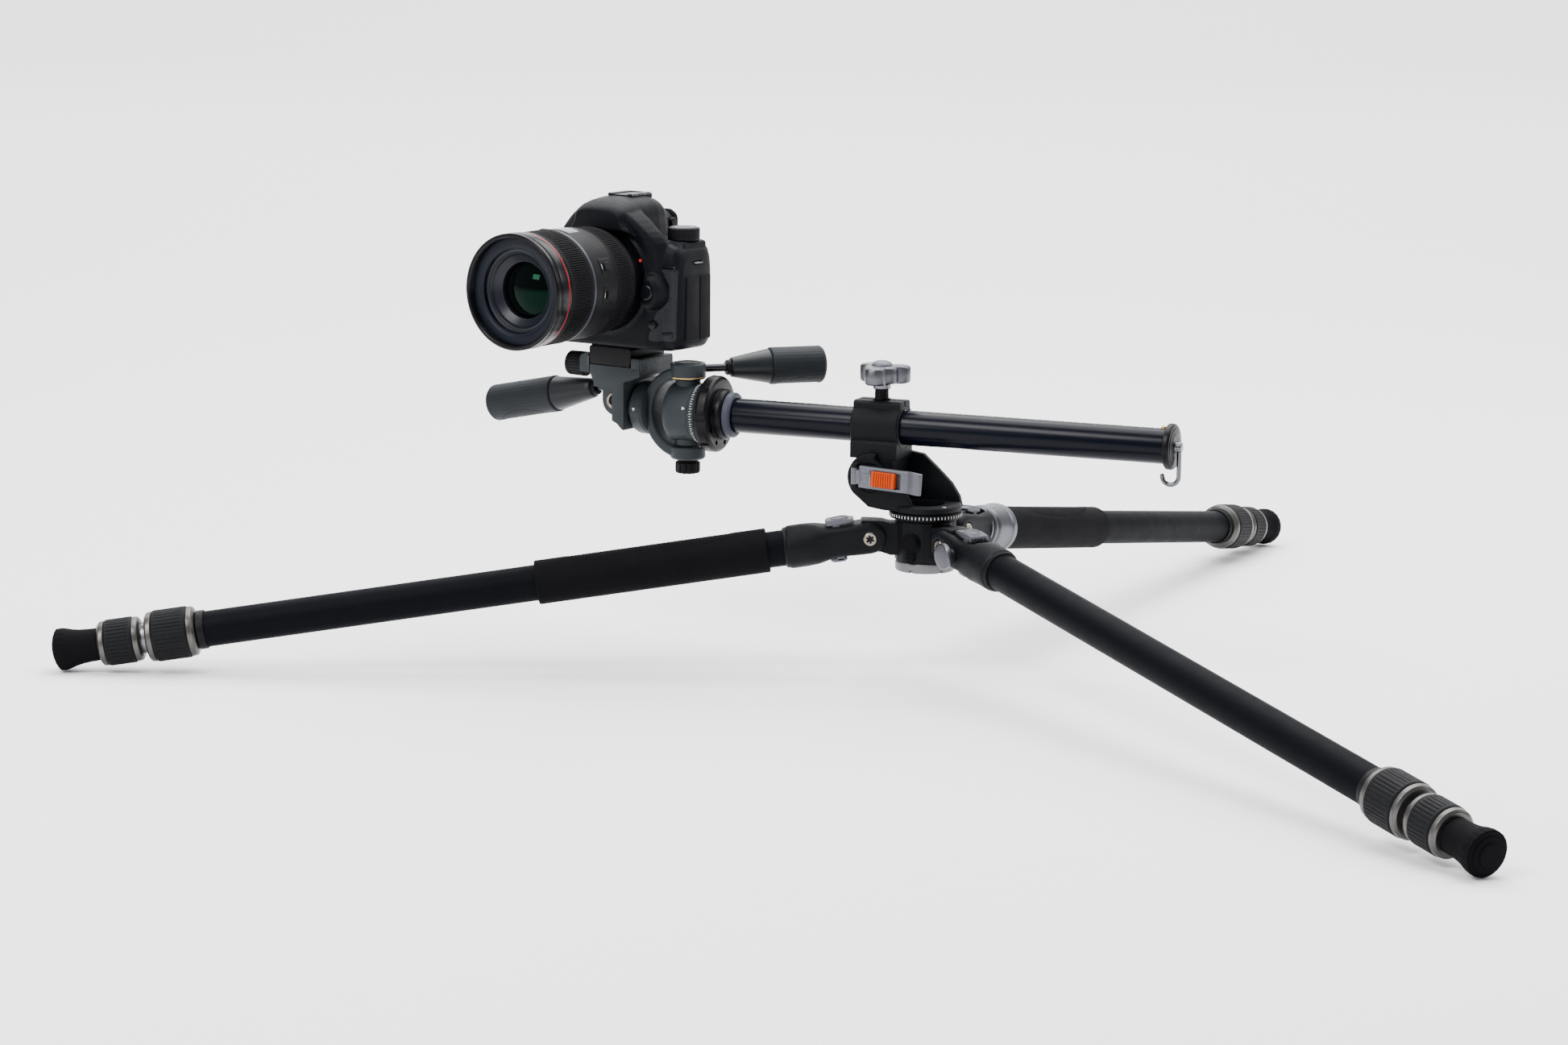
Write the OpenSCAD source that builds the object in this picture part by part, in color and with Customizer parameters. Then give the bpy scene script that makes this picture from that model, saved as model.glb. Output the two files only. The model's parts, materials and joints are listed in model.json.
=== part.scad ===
/* [Legs] */
// Angle of each leg below the horizontal at its low stop
leg_droop = 8.6; // [5:0.2:20]
// Distance from the spider's axis to each leg's pivot
pivot_radius = 40; // [38:1:44]
// Outer diameter of the upper leg tube
leg_tube_d = 26; // [26:1:27]
// Length from a leg's pivot to the end of its upper tube
upper_len = 500; // [420:5:560]
// Length of a leg's closed stack of twist locks and foot
lock_stack = 95; // [95:1:110]
// Start of the rubber grip, measured from the leg's pivot
grip_start = 74; // [70:1:110]
// Length of the rubber grip
grip_len = 168; // [80:1:220]

/* [Column] */
// Direction of the column's free end, seen from above
column_azimuth = -23; // [-30:1:-10]
// Height of the column's axis above the hub's bottom face
column_height = 102; // [102:1:104]
// Outer diameter of the column tube
column_d = 25; // [24.6:0.1:25]
// Distance from the spider's axis to the column's free end
column_right = 186; // [150:1:240]
// Distance from the spider's axis to the column's tilt pivot
tilt_offset = 35; // [35:1:36]

/* [Head] */
// Distance from the spider's axis to the head's tilt axis
head_reach = 187.5; // [187:0.5:230]
// Turn of the head's yoke away from square to the column
yoke_turn = -11.65; // [-15:0.05:-5]
// Diameter of the round plate that carries the head
head_plate_d = 56; // [50:1:56]
// Outer diameter of both handle grips
handle_d = 27.5; // [24:0.5:27.5]

/* [Camera] */
// Width of the camera body
camera_w = 149; // [145:1:152]
// Height of the camera body without the viewfinder hump
camera_h = 78.5; // [76:0.5:80]
// Height of the lens axis above the camera's base
lens_axis_h = 50.5; // [50:0.5:52]
// Length of the lens, from the mount to the filter ring
lens_len = 107; // [107:1:110]
// Outer diameter of the lens's filter ring
lens_d = 83.5; // [83:0.5:84]
// Inner diameter of the filter thread
filter_d = 76.5; // [74:0.5:77]

/* [Hidden] */
$fn = 96;
eps = 0.01;
gap = 0.3;                 // clearance between pieces that move past each other
seat = 0.05;               // clearance between pieces that are fixed together

// leg directions, seen from above
left_az = 180;
front_az = 300;
rear_az = 60;

// spider
hub_h = 38;                // height of the spider's hub
hub_r = 22;
hub_bore_r = 13.5;         // passage for the column when it stands upright
pivot_z = 24;              // height of the leg pivots above the hub's bottom face
ring_h = 7;                // height of the base ring
ring_r = 21.5;
ring_in_r = 17;
dial_h = 5;
dial_r = 26.3;
dial_z = hub_h;
spigot_r = 16;             // the column base turns on this spigot in the hub
spigot_h = 8;
lug_w = 17.2;              // width of the spider's tongue in the leg's fork
lug_r = 10.2;
bolt_r = 4;                // leg pivot bolt
bolt_head_r = 5;
bolt_head_h = 2.6;

// legs
tube_r = leg_tube_d / 2;
tube_wall = 1.5;
mid_r = tube_r - tube_wall - gap;
mid_wall = 1.3;
low_r = mid_r - mid_wall - gap;
low_wall = 1.2;
fork_out = 29;             // width over the fork's cheeks
fork_in = lug_w + 2 * gap;
fork_r = 11.5;
knob_station = 19;         // leg knob, measured from the front leg's pivot
socket_r = 15.5;
socket_start = 37;
socket_end = 60;
lock1_start = upper_len - 10;
lock1_len = 36;
lock2_start = lock1_start + lock1_len + 4;
lock2_len = 31;
foot_start = lock2_start + lock2_len;
foot_end = upper_len + lock_stack;
lock1_r = 18.7;
lock2_r = 16.8;
foot_neck_r = 11.8;
foot_r = 15.2;
tab_w = 15;

// column tilt joint
base_top = dial_z + dial_h;
base_flange_h = 5;
tilt_z = column_height - tilt_offset;
cheek_in = 16.6;           // half the space between the base's cheeks
cheek_out = 21.5;
cheek_r = 17.5;
tilt_bolt_r = 5;
column_r = column_d / 2;
column_wall = 1.6;
liner_r = 15;
collar_r = 19;
collar_half = 18;          // half the collar's length along the column
collar_top = 19;           // top plate above the column's axis
collar_w = 32;             // width of the collar across the column
knob_stem_r = 5;
knob_z = 31;               // underside of the collar knob above the column's axis
knob_r = 19;
knob_h = 13;
lever_x = -tilt_offset - 9; // the lever's pivot pin
lever_y = -31;             // outer face of the clamp lever
lever_t = 5;
lever_h = 15.6;
lever_len = 53;
lever_slope = 3;
lever_pin_y = lever_y + lever_t / 2;
lever_pin_z = tilt_z + 2.3;
lever_pin_r = 1.2;
lever_barrel_h = 12;
lever_ear_r = 2.5;
lever_ear_t = 2.4;
button_x = lever_x + 14.3;
button_len = 18;

hook_stem_r = 4.2;         // the bag hook's stem in the column's end cap

// pan head, measured from the tilt axis
plate_near = 16.6;         // near face of the head plate, towards the free end
plate_t = 10.5;
barrel_r = 21.7;
yoke_in_r = 24.6;
yoke_out_r = 34;
yoke_w = 22;
pad_r = 9.5;               // bearing faces between the housing and the yoke
boss_r = 13;
boss_top = 36.5;
boss_bot = -34.5;
handle_z = 31.8;
handle_az = 41;            // tilt handle, turned from the column's direction
disc_r = 19.5;
disc_near = 28;
disc_far = 40;
bearing_far = 43;
clamp_left = 84;           // far end of the plate clamp
clamp_right = 29;
clamp_half = 21;
clamp_top = 38.5;
clamp_bot = 25;
jaw_t = 9;
knob_y = -8;                // plate knob's axis
knob_axis_z = 28.9;
plate_mid = 56;            // middle of the quick-release plate
plate_half = 19;
plate_top = 46.8;
camera_x = 52.4;           // lens axis, measured from the tilt axis
side_handle_tilt = 12;

// camera, measured from the lens axis at the tilt axis
body_right = 61;
body_left = body_right - camera_w;
body_bot = plate_top + 0.2;
lens_z = body_bot + lens_axis_h;
body_top = body_bot + camera_h;
body_front = -25;
body_back = 23;
mount_y = -34.3;
mount_r = 34;
box_r = 24;                // mirror box opening
lens_y = mount_y - lens_len;
zoom_start = 17.2;         // lens stations, measured from the filter ring
zoom_end = 43.7;
window_end = 72;
focus_end = 92;
sleeve_r = 36;             // the sleeve that carries the front of the lens
mode_x = 46.5;             // mode dial
mode_y = 2;
shutter_x = body_left + 20;
shutter_y = body_front - 6;
wheel_x = body_left + 16;  // main dial
wheel_y = body_front + 9;
rear_x = -58;              // rear dial
rear_z = body_bot + 36;
release_x = 41;            // lens release button
release_z = lens_z - 7;

// Places children in a leg's frame: X runs from the pivot down the leg.
module leg_frame(az) {
    rotate([0, 0, az]) translate([pivot_radius, 0, pivot_z]) rotate([0, leg_droop, 0]) children();
}

// Places children in the column's frame: X runs along the column's axis to its free end.
module column_frame() {
    translate([0, 0, column_height]) rotate([0, 0, column_azimuth]) children();
}

// Places children in the head's frame: X to the right, Y back, Z along the tilt axis.
module head_frame() {
    column_frame() translate([-head_reach, 0, 0]) rotate([0, 0, yoke_turn]) children();
}

// Places children in the camera's frame, with the lens axis in the plane X = 0.
module camera_frame() {
    head_frame() translate([-camera_x, 0, 0]) children();
}

// A cylinder along X from x0 to x1.
module rod_x(x0, x1, r) {
    translate([x0, 0, 0]) rotate([0, 90, 0]) cylinder(r = r, h = x1 - x0);
}

// A ring along X from x0 to x1.
module ring_x(x0, x1, r_out, r_in) {
    difference() {
        rod_x(x0, x1, r_out);
        rod_x(x0 - 1, x1 + 1, r_in);
    }
}

// A cylinder along Y from y0 to y1.
module rod_y(y0, y1, r) {
    translate([0, y1, 0]) rotate([90, 0, 0]) cylinder(r = r, h = y1 - y0);
}

// A ring along Y from y0 to y1.
module ring_y(y0, y1, r_out, r_in) {
    difference() {
        rod_y(y0, y1, r_out);
        rod_y(y0 - 1, y1 + 1, r_in);
    }
}

// A ring standing on the XY plane.
module ring_z(z0, z1, r_out, r_in) {
    translate([0, 0, z0]) difference() {
        cylinder(r = r_out, h = z1 - z0);
        translate([0, 0, -1]) cylinder(r = r_in, h = z1 - z0 + 2);
    }
}

// A block given by its lowest and highest corners.
module block(low, high) {
    translate(low) cube(high - low);
}

// ---- spider -------------------------------------------------------------

module spider_lug() {
    stop_x = 7;
    stop_z = 13.5;
    neck_x = 18 - pivot_radius;
    difference() {
        union() {
            rod_y(-lug_w / 2, lug_w / 2, lug_r);
            block([neck_x, -lug_w / 2, -lug_r], [0, lug_w / 2, stop_z]);
            block([-1, -lug_w / 2, 0], [stop_x, lug_w / 2, stop_z]);
        }
        rod_y(-lug_w, lug_w, bolt_r + seat);
    }
}

module spider_casting() {
    color("#1b1d20") difference() {
        union() {
            cylinder(r = ring_in_r - seat, h = ring_h + 1);
            translate([0, 0, ring_h]) cylinder(r = hub_r, h = hub_h - ring_h);
            for (az = [left_az, front_az, rear_az])
                rotate([0, 0, az]) translate([pivot_radius, 0, pivot_z]) spider_lug();
            thread_boss();
        }
        translate([0, 0, -1]) cylinder(r = hub_bore_r, h = hub_h + 2);
        translate([0, 0, hub_h - spigot_h - gap]) cylinder(r = spigot_r + gap, h = hub_h);
        thread_boss_place() translate([0, 0, hub_r - 4]) cylinder(r = 4.8, h = 12);
    }
}

// The accessory boss faces between the left and the front leg.
module thread_boss_place() {
    rotate([0, 0, 240]) translate([0, 0, pivot_z - 2]) rotate([0, 90, 0]) children();
}

module thread_boss() {
    thread_boss_place() translate([0, 0, hub_r - 3]) cylinder(r = 7, h = 5);
}

module thread_plug() {
    color("#17181a") thread_boss_place() {
        translate([0, 0, hub_r + 2 + seat]) cylinder(r = 6.5, h = 2.2);
        translate([0, 0, hub_r - 3]) cylinder(r = 4.8 - seat, h = 5.5);
    }
}

module dial_ring() {
    color("#202225") ring_z(dial_z, dial_z + dial_h, dial_r, spigot_r + gap);
}

module base_ring() {
    notch_w = 3;
    color("#d5d3d6") difference() {
        ring_z(0, ring_h, ring_r, ring_in_r);
        for (a = [0:60:300])
            rotate([0, 0, a]) block([ring_in_r + 2, -notch_w / 2, -1], [ring_r + 1, notch_w / 2, 2]);
    }
}

module leg_pivot_bolts() {
    color("#c9bfae") for (az = [left_az, front_az, rear_az])
        rotate([0, 0, az]) translate([pivot_radius, 0, pivot_z]) difference() {
            union() {
                rod_y(-fork_out / 2 + 2, fork_out / 2 - 2, bolt_r);
                rod_y(-fork_out / 2 - 0.6, -fork_out / 2 + 2, bolt_head_r);
                rod_y(fork_out / 2 - 2, fork_out / 2 + 0.6, bolt_head_r);
            }
            translate([0, -fork_out / 2, 0]) rotate([90, 0, 0]) cylinder(r = 2.4, h = 4, $fn = 6);
        }
}

// The knob's screw runs through the front leg's near cheek, square to the leg.
module leg_knob_place() {
    leg_frame(front_az) translate([knob_station, -fork_out / 2, 0]) rotate([90, 0, 0]) children();
}

module leg_knob() {
    color("#cfd2d8") leg_knob_place() {
        translate([0, 0, -4.5]) cylinder(r = 3, h = 6);
        translate([0, 0, gap]) cylinder(r = 5.5, h = 4);
        translate([0, 0, gap + 3.9]) cylinder(r = 9.3, h = 5.5);
    }
}

// ---- column base and its lever -----------------------------------------

// Outline of a cheek in the column's vertical plane, from the flange up to the tilt pivot.
module cheek_outline(reach) {
    foot_z = base_top + 1;
    corner = [-tilt_offset, base_top + 2];
    difference() {
        union() {
            translate([-tilt_offset, tilt_z]) circle(r = cheek_r);
            polygon([
                corner, [-24, foot_z], [reach, foot_z], [reach - 5, foot_z + 12],
                [reach - 15, foot_z + 26], [reach - 32, tilt_z + cheek_r],
                [-tilt_offset, tilt_z + cheek_r], [-tilt_offset - cheek_r * 0.77, tilt_z - cheek_r * 0.64],
            ]);
        }
        translate([-tilt_offset, tilt_z]) circle(r = tilt_bolt_r + seat);
    }
}

module cheek(y0, y1, reach) {
    translate([0, y1, 0]) rotate([90, 0, 0]) linear_extrude(y1 - y0) cheek_outline(reach);
}

// One of the two ears that hold the lever's pin, with its top and bottom faces at z0 and z1.
module lever_ear(z0, z1) {
    translate([lever_x, lever_pin_y, z0]) {
        cylinder(r = lever_ear_r, h = z1 - z0);
        block([-lever_ear_r, 0, 0], [lever_ear_r, -cheek_out + 1 - lever_pin_y, z1 - z0]);
    }
}

module column_base() {
    ear_low = lever_pin_z - lever_barrel_h / 2 - gap;
    ear_high = lever_pin_z + lever_barrel_h / 2 + gap;
    color("#141518") rotate([0, 0, column_azimuth]) {
        difference() {
            union() {
                translate([0, 0, base_top + gap]) cylinder(r = dial_r - 0.5, h = base_flange_h);
                cheek(-cheek_out, -cheek_in, -2);
                cheek(cheek_in, cheek_out, 21);
                block([-tilt_offset - 3, -cheek_out, base_top + gap + 2], [-19, cheek_out, base_top + 8]);
                translate([0, 0, dial_z - spigot_h]) cylinder(r = spigot_r, h = dial_h + spigot_h + 2);
                lever_ear(ear_low - lever_ear_t, ear_low);
                lever_ear(ear_high, ear_high + lever_ear_t);
            }
            cylinder(r = hub_bore_r, h = tilt_z);
        }
        translate([lever_x, lever_pin_y, ear_low - eps])
            cylinder(r = lever_pin_r, h = ear_high - ear_low + 2 * eps);
    }
}

module tilt_bolt() {
    color("#c9bfae") rotate([0, 0, column_azimuth]) translate([-tilt_offset, 0, tilt_z]) {
        rod_y(-cheek_out - 0.5, cheek_out + 0.5, tilt_bolt_r);
        rod_y(cheek_out + seat, cheek_out + 5, 8);
        ring_y(-cheek_out - 2.5, -cheek_out - seat, 7, tilt_bolt_r - eps);
    }
}

// Places children on the clamp lever, which slopes down a little towards its free end.
module lever_frame() {
    rotate([0, 0, column_azimuth]) translate([0, 0, tilt_z]) rotate([0, lever_slope, 0]) children();
}

// The lever is an upright plate on the near side of the base, with an upturned free end.
module clamp_lever() {
    root = lever_x + 3.6;
    tip = lever_x + lever_len;
    wall = 2;
    color("#d9dae2") {
        lever_frame() difference() {
            union() {
                block([root, lever_y, -lever_h / 2], [tip - 10, lever_y + lever_t, lever_h / 2]);
                block([tip - 10 - eps, lever_y - 3, -lever_h / 2], [tip, lever_y + lever_t - 2, lever_h / 2]);
            }
            block([button_x - gap, lever_y - 1, -lever_h / 2 + wall],
                  [button_x + button_len + 4, lever_y + lever_t - 1.5, lever_h / 2 - wall]);
        }
        rotate([0, 0, column_azimuth]) translate([lever_x, lever_pin_y, lever_pin_z - lever_barrel_h / 2])
            difference() {
                union() {
                    cylinder(r = lever_t / 2, h = lever_barrel_h);
                    block([0, -lever_t / 2, 0.5], [5, lever_t / 2, lever_barrel_h - 1.5]);
                }
                translate([0, 0, -1]) cylinder(r = lever_pin_r + 0.2, h = lever_barrel_h + 2);
            }
    }
}

module lever_button() {
    ribs = 7;
    inset = 2.3;
    color("#e0601a") lever_frame() difference() {
        block([button_x, lever_y - 3, -lever_h / 2 + inset],
              [button_x + button_len, lever_y + lever_t - 1.8, lever_h / 2 - inset]);
        for (i = [0:ribs - 1])
            translate([button_x + 3 + i * 2.1, lever_y - 3, 0]) cube([0.9, 1, lever_h], center = true);
    }
}

// ---- collar ---------------------------------------------------------------

module collar_clamp() {
    neck_half = cheek_in - gap;
    color("#131417") column_frame() translate([-tilt_offset, 0, 0]) difference() {
        union() {
            rod_x(-collar_half, collar_half, collar_r - 1.5);
            block([-collar_half, -10, 0], [collar_half, 10, collar_top]);
            block([-collar_half, -neck_half, -22], [collar_half, neck_half, -10]);
            block([-13, -neck_half, -tilt_offset], [collar_half - 2, neck_half, -18]);
            translate([0, 0, -tilt_offset]) rod_y(-neck_half, neck_half, 13);
        }
        rod_x(-collar_half - 1, collar_half + 1, liner_r + seat);
        translate([0, 0, -tilt_offset]) rod_y(-neck_half - 1, neck_half + 1, tilt_bolt_r + seat);
        translate([0, 0, 10]) cylinder(r = knob_stem_r - 1 + gap, h = 20);
    }
}

module collar_liner() {
    color("#2b2d30") column_frame() translate([-tilt_offset, 0, 0]) difference() {
        rod_x(-collar_half + 0.5, collar_half - 0.5, liner_r);
        rod_x(-collar_half - 1, collar_half + 1, column_r + seat);
    }
}

module collar_knob() {
    lobes = 3;
    color("#c4c8d0") column_frame() translate([-tilt_offset, 0, 0]) {
        translate([0, 0, 15.4]) cylinder(r = knob_stem_r - 1, h = 8);
        translate([0, 0, collar_top + gap]) cylinder(r = knob_stem_r, h = knob_z - 4 - collar_top);
        translate([0, 0, knob_z - 4]) cylinder(r = 6.5, h = 4.1);
        translate([0, 0, knob_z]) linear_extrude(knob_h) union() {
            circle(r = 11);
            for (i = [0:lobes - 1])
                rotate([0, 0, 30 + i * 360 / lobes]) translate([knob_r - 6.5, 0]) circle(r = 6.5);
        }
        translate([0, 0, knob_z + knob_h - eps]) cylinder(r = 7.5, h = 3.4);
    }
}

// ---- column ---------------------------------------------------------------

module column_tube() {
    plug_len = 12;
    color("#0d0f14") column_frame() difference() {
        rod_x(-head_reach + plate_near + plate_t, column_right - 6, column_r);
        rod_x(-head_reach + plate_near + plate_t + plug_len, column_right, column_r - column_wall);
    }
}

module end_cap() {
    color("#101114") column_frame() translate([column_right, 0, 0]) difference() {
        union() {
            rod_x(-6 + seat, 0, 16);
            rod_x(-14, -5.9, column_r - column_wall - seat);
        }
        rod_x(-15, 1, hook_stem_r);
    }
}

// The hook hangs from a stem in the end cap and turns with it.
module bag_hook() {
    wire_r = 1.65;
    drop = 21;
    color("#cfd0d4") column_frame() translate([column_right, 0, 0]) {
        rod_x(-12, 4.5, hook_stem_r - seat);
        translate([2.4, 0, -drop]) cylinder(r = wire_r, h = drop);
        translate([2.4, 0, -drop]) rotate([90, 0, 0]) rotate([0, 0, 180])
            translate([-6, 0, 0]) rotate_extrude(angle = 180, $fn = 48) translate([6, 0]) circle(r = wire_r, $fn = 24);
    }
}

// The black round plate under the head, with the grey ring on the column below it.
module head_plate() {
    near = -head_reach + plate_near;
    color("#101114") column_frame() {
        difference() {
            union() {
                rod_x(near, near + plate_t, head_plate_d / 2);
                rod_x(near + plate_t - eps, near + plate_t + 6, 18.5);
            }
            rod_x(near + plate_t, near + plate_t + 7, column_r + seat);
            for (a = [0:45:315])
                rotate([a, 0, 0]) translate([near - 1, -2, head_plate_d / 2 - 1.2]) cube([plate_t - 2, 4, 3]);
        }
        ring_x(near + plate_t + 6 + seat, near + plate_t + 12, 16.5, column_r + seat);
    }
}

// ---- pan head ---------------------------------------------------------------

module pan_housing() {
    shoulder = 10.5;
    nose = 14;
    color("#3a4147") column_frame() translate([-head_reach, 0, 0]) difference() {
        union() {
            rod_x(-shoulder, plate_near - gap, barrel_r);
            translate([-shoulder + eps, 0, 0]) rotate([0, -90, 0])
                cylinder(r1 = barrel_r, r2 = barrel_r - 4, h = nose - shoulder);
            translate([0, 0, -yoke_in_r + gap]) cylinder(r = pad_r, h = 2 * (yoke_in_r - gap));
        }
        translate([0, 0, -40]) cylinder(r = 4 + gap, h = 80);
    }
}

// C-shaped yoke with its two tilt bosses, the tilt spindle and the round face for the bracket.
module tilt_yoke() {
    color("#454c52") head_frame() difference() {
        union() {
            difference() {
                intersection() {
                    rod_y(-yoke_w / 2, yoke_w / 2, yoke_out_r);
                    block([-yoke_out_r, -yoke_w, -yoke_out_r], [6, yoke_w, yoke_out_r]);
                }
                sphere(r = yoke_in_r + 0.6);
                rod_y(-yoke_w, yoke_w, yoke_in_r);
                translate([0, 0, -yoke_in_r]) cylinder(r = pad_r + gap, h = 2 * yoke_in_r);
                block([0, -yoke_w, -yoke_out_r], [10, yoke_w, yoke_out_r]);
            }
            ring_z(yoke_in_r, boss_top, boss_r, 4 - eps);
            ring_z(boss_bot, -yoke_in_r, boss_r, 4 - eps);
            rod_x(-disc_far, -disc_near, disc_r);
        }
        rod_x(-disc_far - 1, -disc_near - 2, 5 + gap);
        sphere(r = yoke_in_r + 0.59);
        handle_frame() rod_x(5, boss_r + 1, 3 + seat);
    }
    color("#454c52") head_frame() difference() {
        translate([0, 0, boss_bot]) cylinder(r = 4, h = boss_top - boss_bot);
        handle_frame() rod_x(1, boss_r, 3 + seat);
    }
}

// The tilt handle's line, seen from the tilt axis.
module handle_frame() {
    translate([0, 0, handle_z]) rotate([0, 0, handle_az - yoke_turn]) children();
}

module handle_shape(rod_from, cone_from, grip_from, grip_to) {
    rod_x(rod_from, cone_from + 4, 3);
    translate([cone_from, 0, 0]) rotate([0, 90, 0])
        cylinder(r1 = 7, r2 = handle_d / 2 - 0.6, h = grip_from - cone_from);
    rod_x(grip_from - eps, grip_to - 1.5, handle_d / 2);
    rod_x(grip_to - 1.5 - eps, grip_to, handle_d / 2 - 1.5);
}

module tilt_handle() {
    color("#1f2124") head_frame() handle_frame() handle_shape(7, 32, 62, 104);
}

module friction_knob() {
    color("#17181b") head_frame() translate([0, 0, boss_bot - gap]) mirror([0, 0, 1]) {
        cylinder(r = 7.5, h = 1.5);
        translate([0, 0, 1.5 - eps]) cylinder(r = 9.2, h = 9);
    }
}

module side_bearing() {
    color("#0f1012") head_frame() ring_x(-bearing_far, -disc_far - seat, disc_r - 1.5, 5 + gap);
}

// Outline of the bracket seen from the lens side, from the side-tilt disc to the plate clamp.
module bracket_outline() {
    polygon([
        [-bearing_far - gap, -16], [-bearing_far - gap, 20], [-clamp_right, clamp_bot],
        [-clamp_right, clamp_top - 7], [-clamp_left + jaw_t, clamp_top - 7],
        [-clamp_left + jaw_t, clamp_bot], [-71, 18], [-71, 4], [-60, -7],
    ]);
    translate([-60, 4]) circle(r = 11);
}

module tilt_bracket() {
    color("#3b4248") head_frame() difference() {
        union() {
            translate([0, clamp_half, 0]) rotate([90, 0, 0]) linear_extrude(2 * clamp_half) bracket_outline();
            block([-clamp_right - 8, -clamp_half, clamp_top - 8], [-clamp_right, clamp_half, clamp_top]);
            rod_x(-bearing_far - 4, -disc_near - 3, 5);
        }
        block([-clamp_left, -30, -30], [-bearing_far - 11, -10, clamp_bot - 10]);
        block([-clamp_left, 10, -30], [-bearing_far - 11, 30, clamp_bot - 10]);
        block([-clamp_left, -4.5, clamp_bot + 0.2], [-clamp_right - 14, 4.5, clamp_bot + 3.8]);
        side_handle_frame() rod_x(0, 40, 3 + seat);
        translate([-clamp_left, knob_y, knob_axis_z]) rod_x(-5, 30, 2 + gap);
    }
}

module plate_jaw() {
    color("#32383d") head_frame() difference() {
        union() {
            block([-clamp_left, -clamp_half, clamp_bot], [-clamp_left + jaw_t - gap, clamp_half, clamp_top]);
            block([-clamp_left + jaw_t - gap - eps, -4.2, clamp_bot + 0.5],
                  [-clamp_right - 18, 4.2, clamp_bot + 3.5]);
        }
        translate([0, knob_y, knob_axis_z]) rod_x(-clamp_left - 1, -clamp_left + 20, 2 + gap);
    }
}

module plate_knob() {
    color("#141517") head_frame() translate([-clamp_left, knob_y, knob_axis_z]) {
        rod_x(-8, 26, 2);
        rod_x(-2.5, -gap, 6);
        rod_x(-18, -2.4, 9.2);
    }
}

module side_handle_frame() {
    translate([-66, -4, 14.5]) rotate([0, -180 - side_handle_tilt, 0]) children();
}

module side_handle() {
    color("#1f2124") head_frame() side_handle_frame() handle_shape(1, 17, 52, 114);
}

module quick_plate() {
    low = clamp_top - 7;
    color("#0e0f11") head_frame() translate([-plate_mid, 0, 0]) {
        block([-plate_half, -clamp_half, clamp_top], [plate_half, clamp_half, plate_top]);
        block([-plate_half + 1, -clamp_half, low + gap], [plate_half - 1, clamp_half, clamp_top + eps]);
    }
}

// ---- camera ---------------------------------------------------------------

// Rounded outline of the body seen from above.
module body_outline() {
    r = 9;
    hull() {
        translate([body_left + r, body_back - r]) circle(r = r, $fn = 32);
        translate([body_right - r - 5, body_back - r]) circle(r = r, $fn = 32);
        translate([body_right - r, 0]) circle(r = r, $fn = 32);
        translate([body_right - r, body_front + r]) circle(r = r, $fn = 32);
        translate([body_left + r, body_front + r]) circle(r = r, $fn = 32);
    }
}

module grip_outline() {
    hull() {
        translate([body_left + 9, body_front + 4]) circle(r = 9, $fn = 32);
        translate([body_left + 12, body_front - 8]) circle(r = 9, $fn = 32);
        translate([body_left + 24, body_front - 6]) circle(r = 9, $fn = 32);
    }
}

// Viewfinder hump outline seen from the front.
module hump_outline() {
    polygon([[-34, 0], [-27, 25], [-19, 32], [19, 32], [27, 25], [33, 0]]);
}

module camera_body() {
    color("#15161a") camera_frame() difference() {
        union() {
            translate([0, 0, body_bot]) linear_extrude(camera_h) body_outline();
            translate([0, 0, body_bot + 1]) linear_extrude(camera_h - 8) grip_outline();
            translate([0, body_back - 6, body_top - 2]) rotate([90, 0, 0])
                linear_extrude(body_back - 6 - mount_y - 6) hump_outline();
            translate([0, 0, lens_z]) rod_y(mount_y, body_front + 1, mount_r + 6);
            block([-20, body_back - 8, body_top - 6], [20, body_back + 9, body_top + 18]);
            block([-34, body_back - 1, body_bot + 16], [34, body_back + 4, body_bot + 66]);
            block([-11, -14, body_top + 29], [11, 12, body_top + 32.2]);
        }
        translate([0, 0, lens_z]) rod_y(mount_y - 1, body_back - 12, box_r);
        block([-20, -14, lens_z - 16], [20, body_back - 10, lens_z + 20]);
        block([-9, -17, body_top + 30.7], [9, 9, body_top + 31.7]);
        block([-6.5, -17, body_top + 30.7], [6.5, 9, body_top + 34]);
        translate([mode_x, mode_y, body_top - 3]) cylinder(r = 3 + gap, h = 10);
        translate([shutter_x, shutter_y, body_top - 11]) cylinder(r = 4.2 + gap, h = 12);
        translate([wheel_x, wheel_y, body_top - 6]) rotate([0, 90, 0]) cylinder(r = 9, h = 8);
        translate([rear_x, body_back + 1, rear_z]) rod_y(-4, 10, 18);
        translate([release_x, 0, release_z]) rod_y(mount_y - 1, mount_y + 6, 6 + gap);
    }
}

module image_sensor() {
    color("#4a5a52") camera_frame() block([-18, body_back - 12, lens_z - 12], [18, body_back - 10.2, lens_z + 12]);
}

// The mirror leans back at 45 degrees behind the lens mount and turns on the shaft along its top edge.
module reflex_mirror() {
    shaft_half = 20 - gap;
    color("#c8ced6") camera_frame() translate([0, 6, lens_z + 15]) rotate([-45, 0, 0]) {
        rod_x(-shaft_half, shaft_half, 1.2);
        block([-15, -1.2, -29], [15, 0, 0]);
    }
}

module mode_dial() {
    color("#1a1b1e") camera_frame() translate([mode_x, mode_y, body_top]) {
        translate([0, 0, -2.5]) cylinder(r = 3, h = 4);
        translate([0, 0, gap]) cylinder(r = 12, h = 10);
    }
}

module shutter_button() {
    color("#232428") camera_frame() translate([shutter_x, shutter_y, body_top - 8.5]) {
        cylinder(r = 2, h = 5);
        translate([0, 0, 4.9]) cylinder(r = 4.2, h = 4.6);
    }
}

module main_dial() {
    color("#1c1d20") camera_frame() translate([wheel_x + 0.5, wheel_y, body_top - 6]) rotate([0, 90, 0])
        cylinder(r = 8.6, h = 7);
}

module rear_dial() {
    color("#1c1d20") camera_frame() translate([rear_x, body_back + 1, rear_z]) ring_y(-2, 2, 17.6, 7);
}

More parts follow.
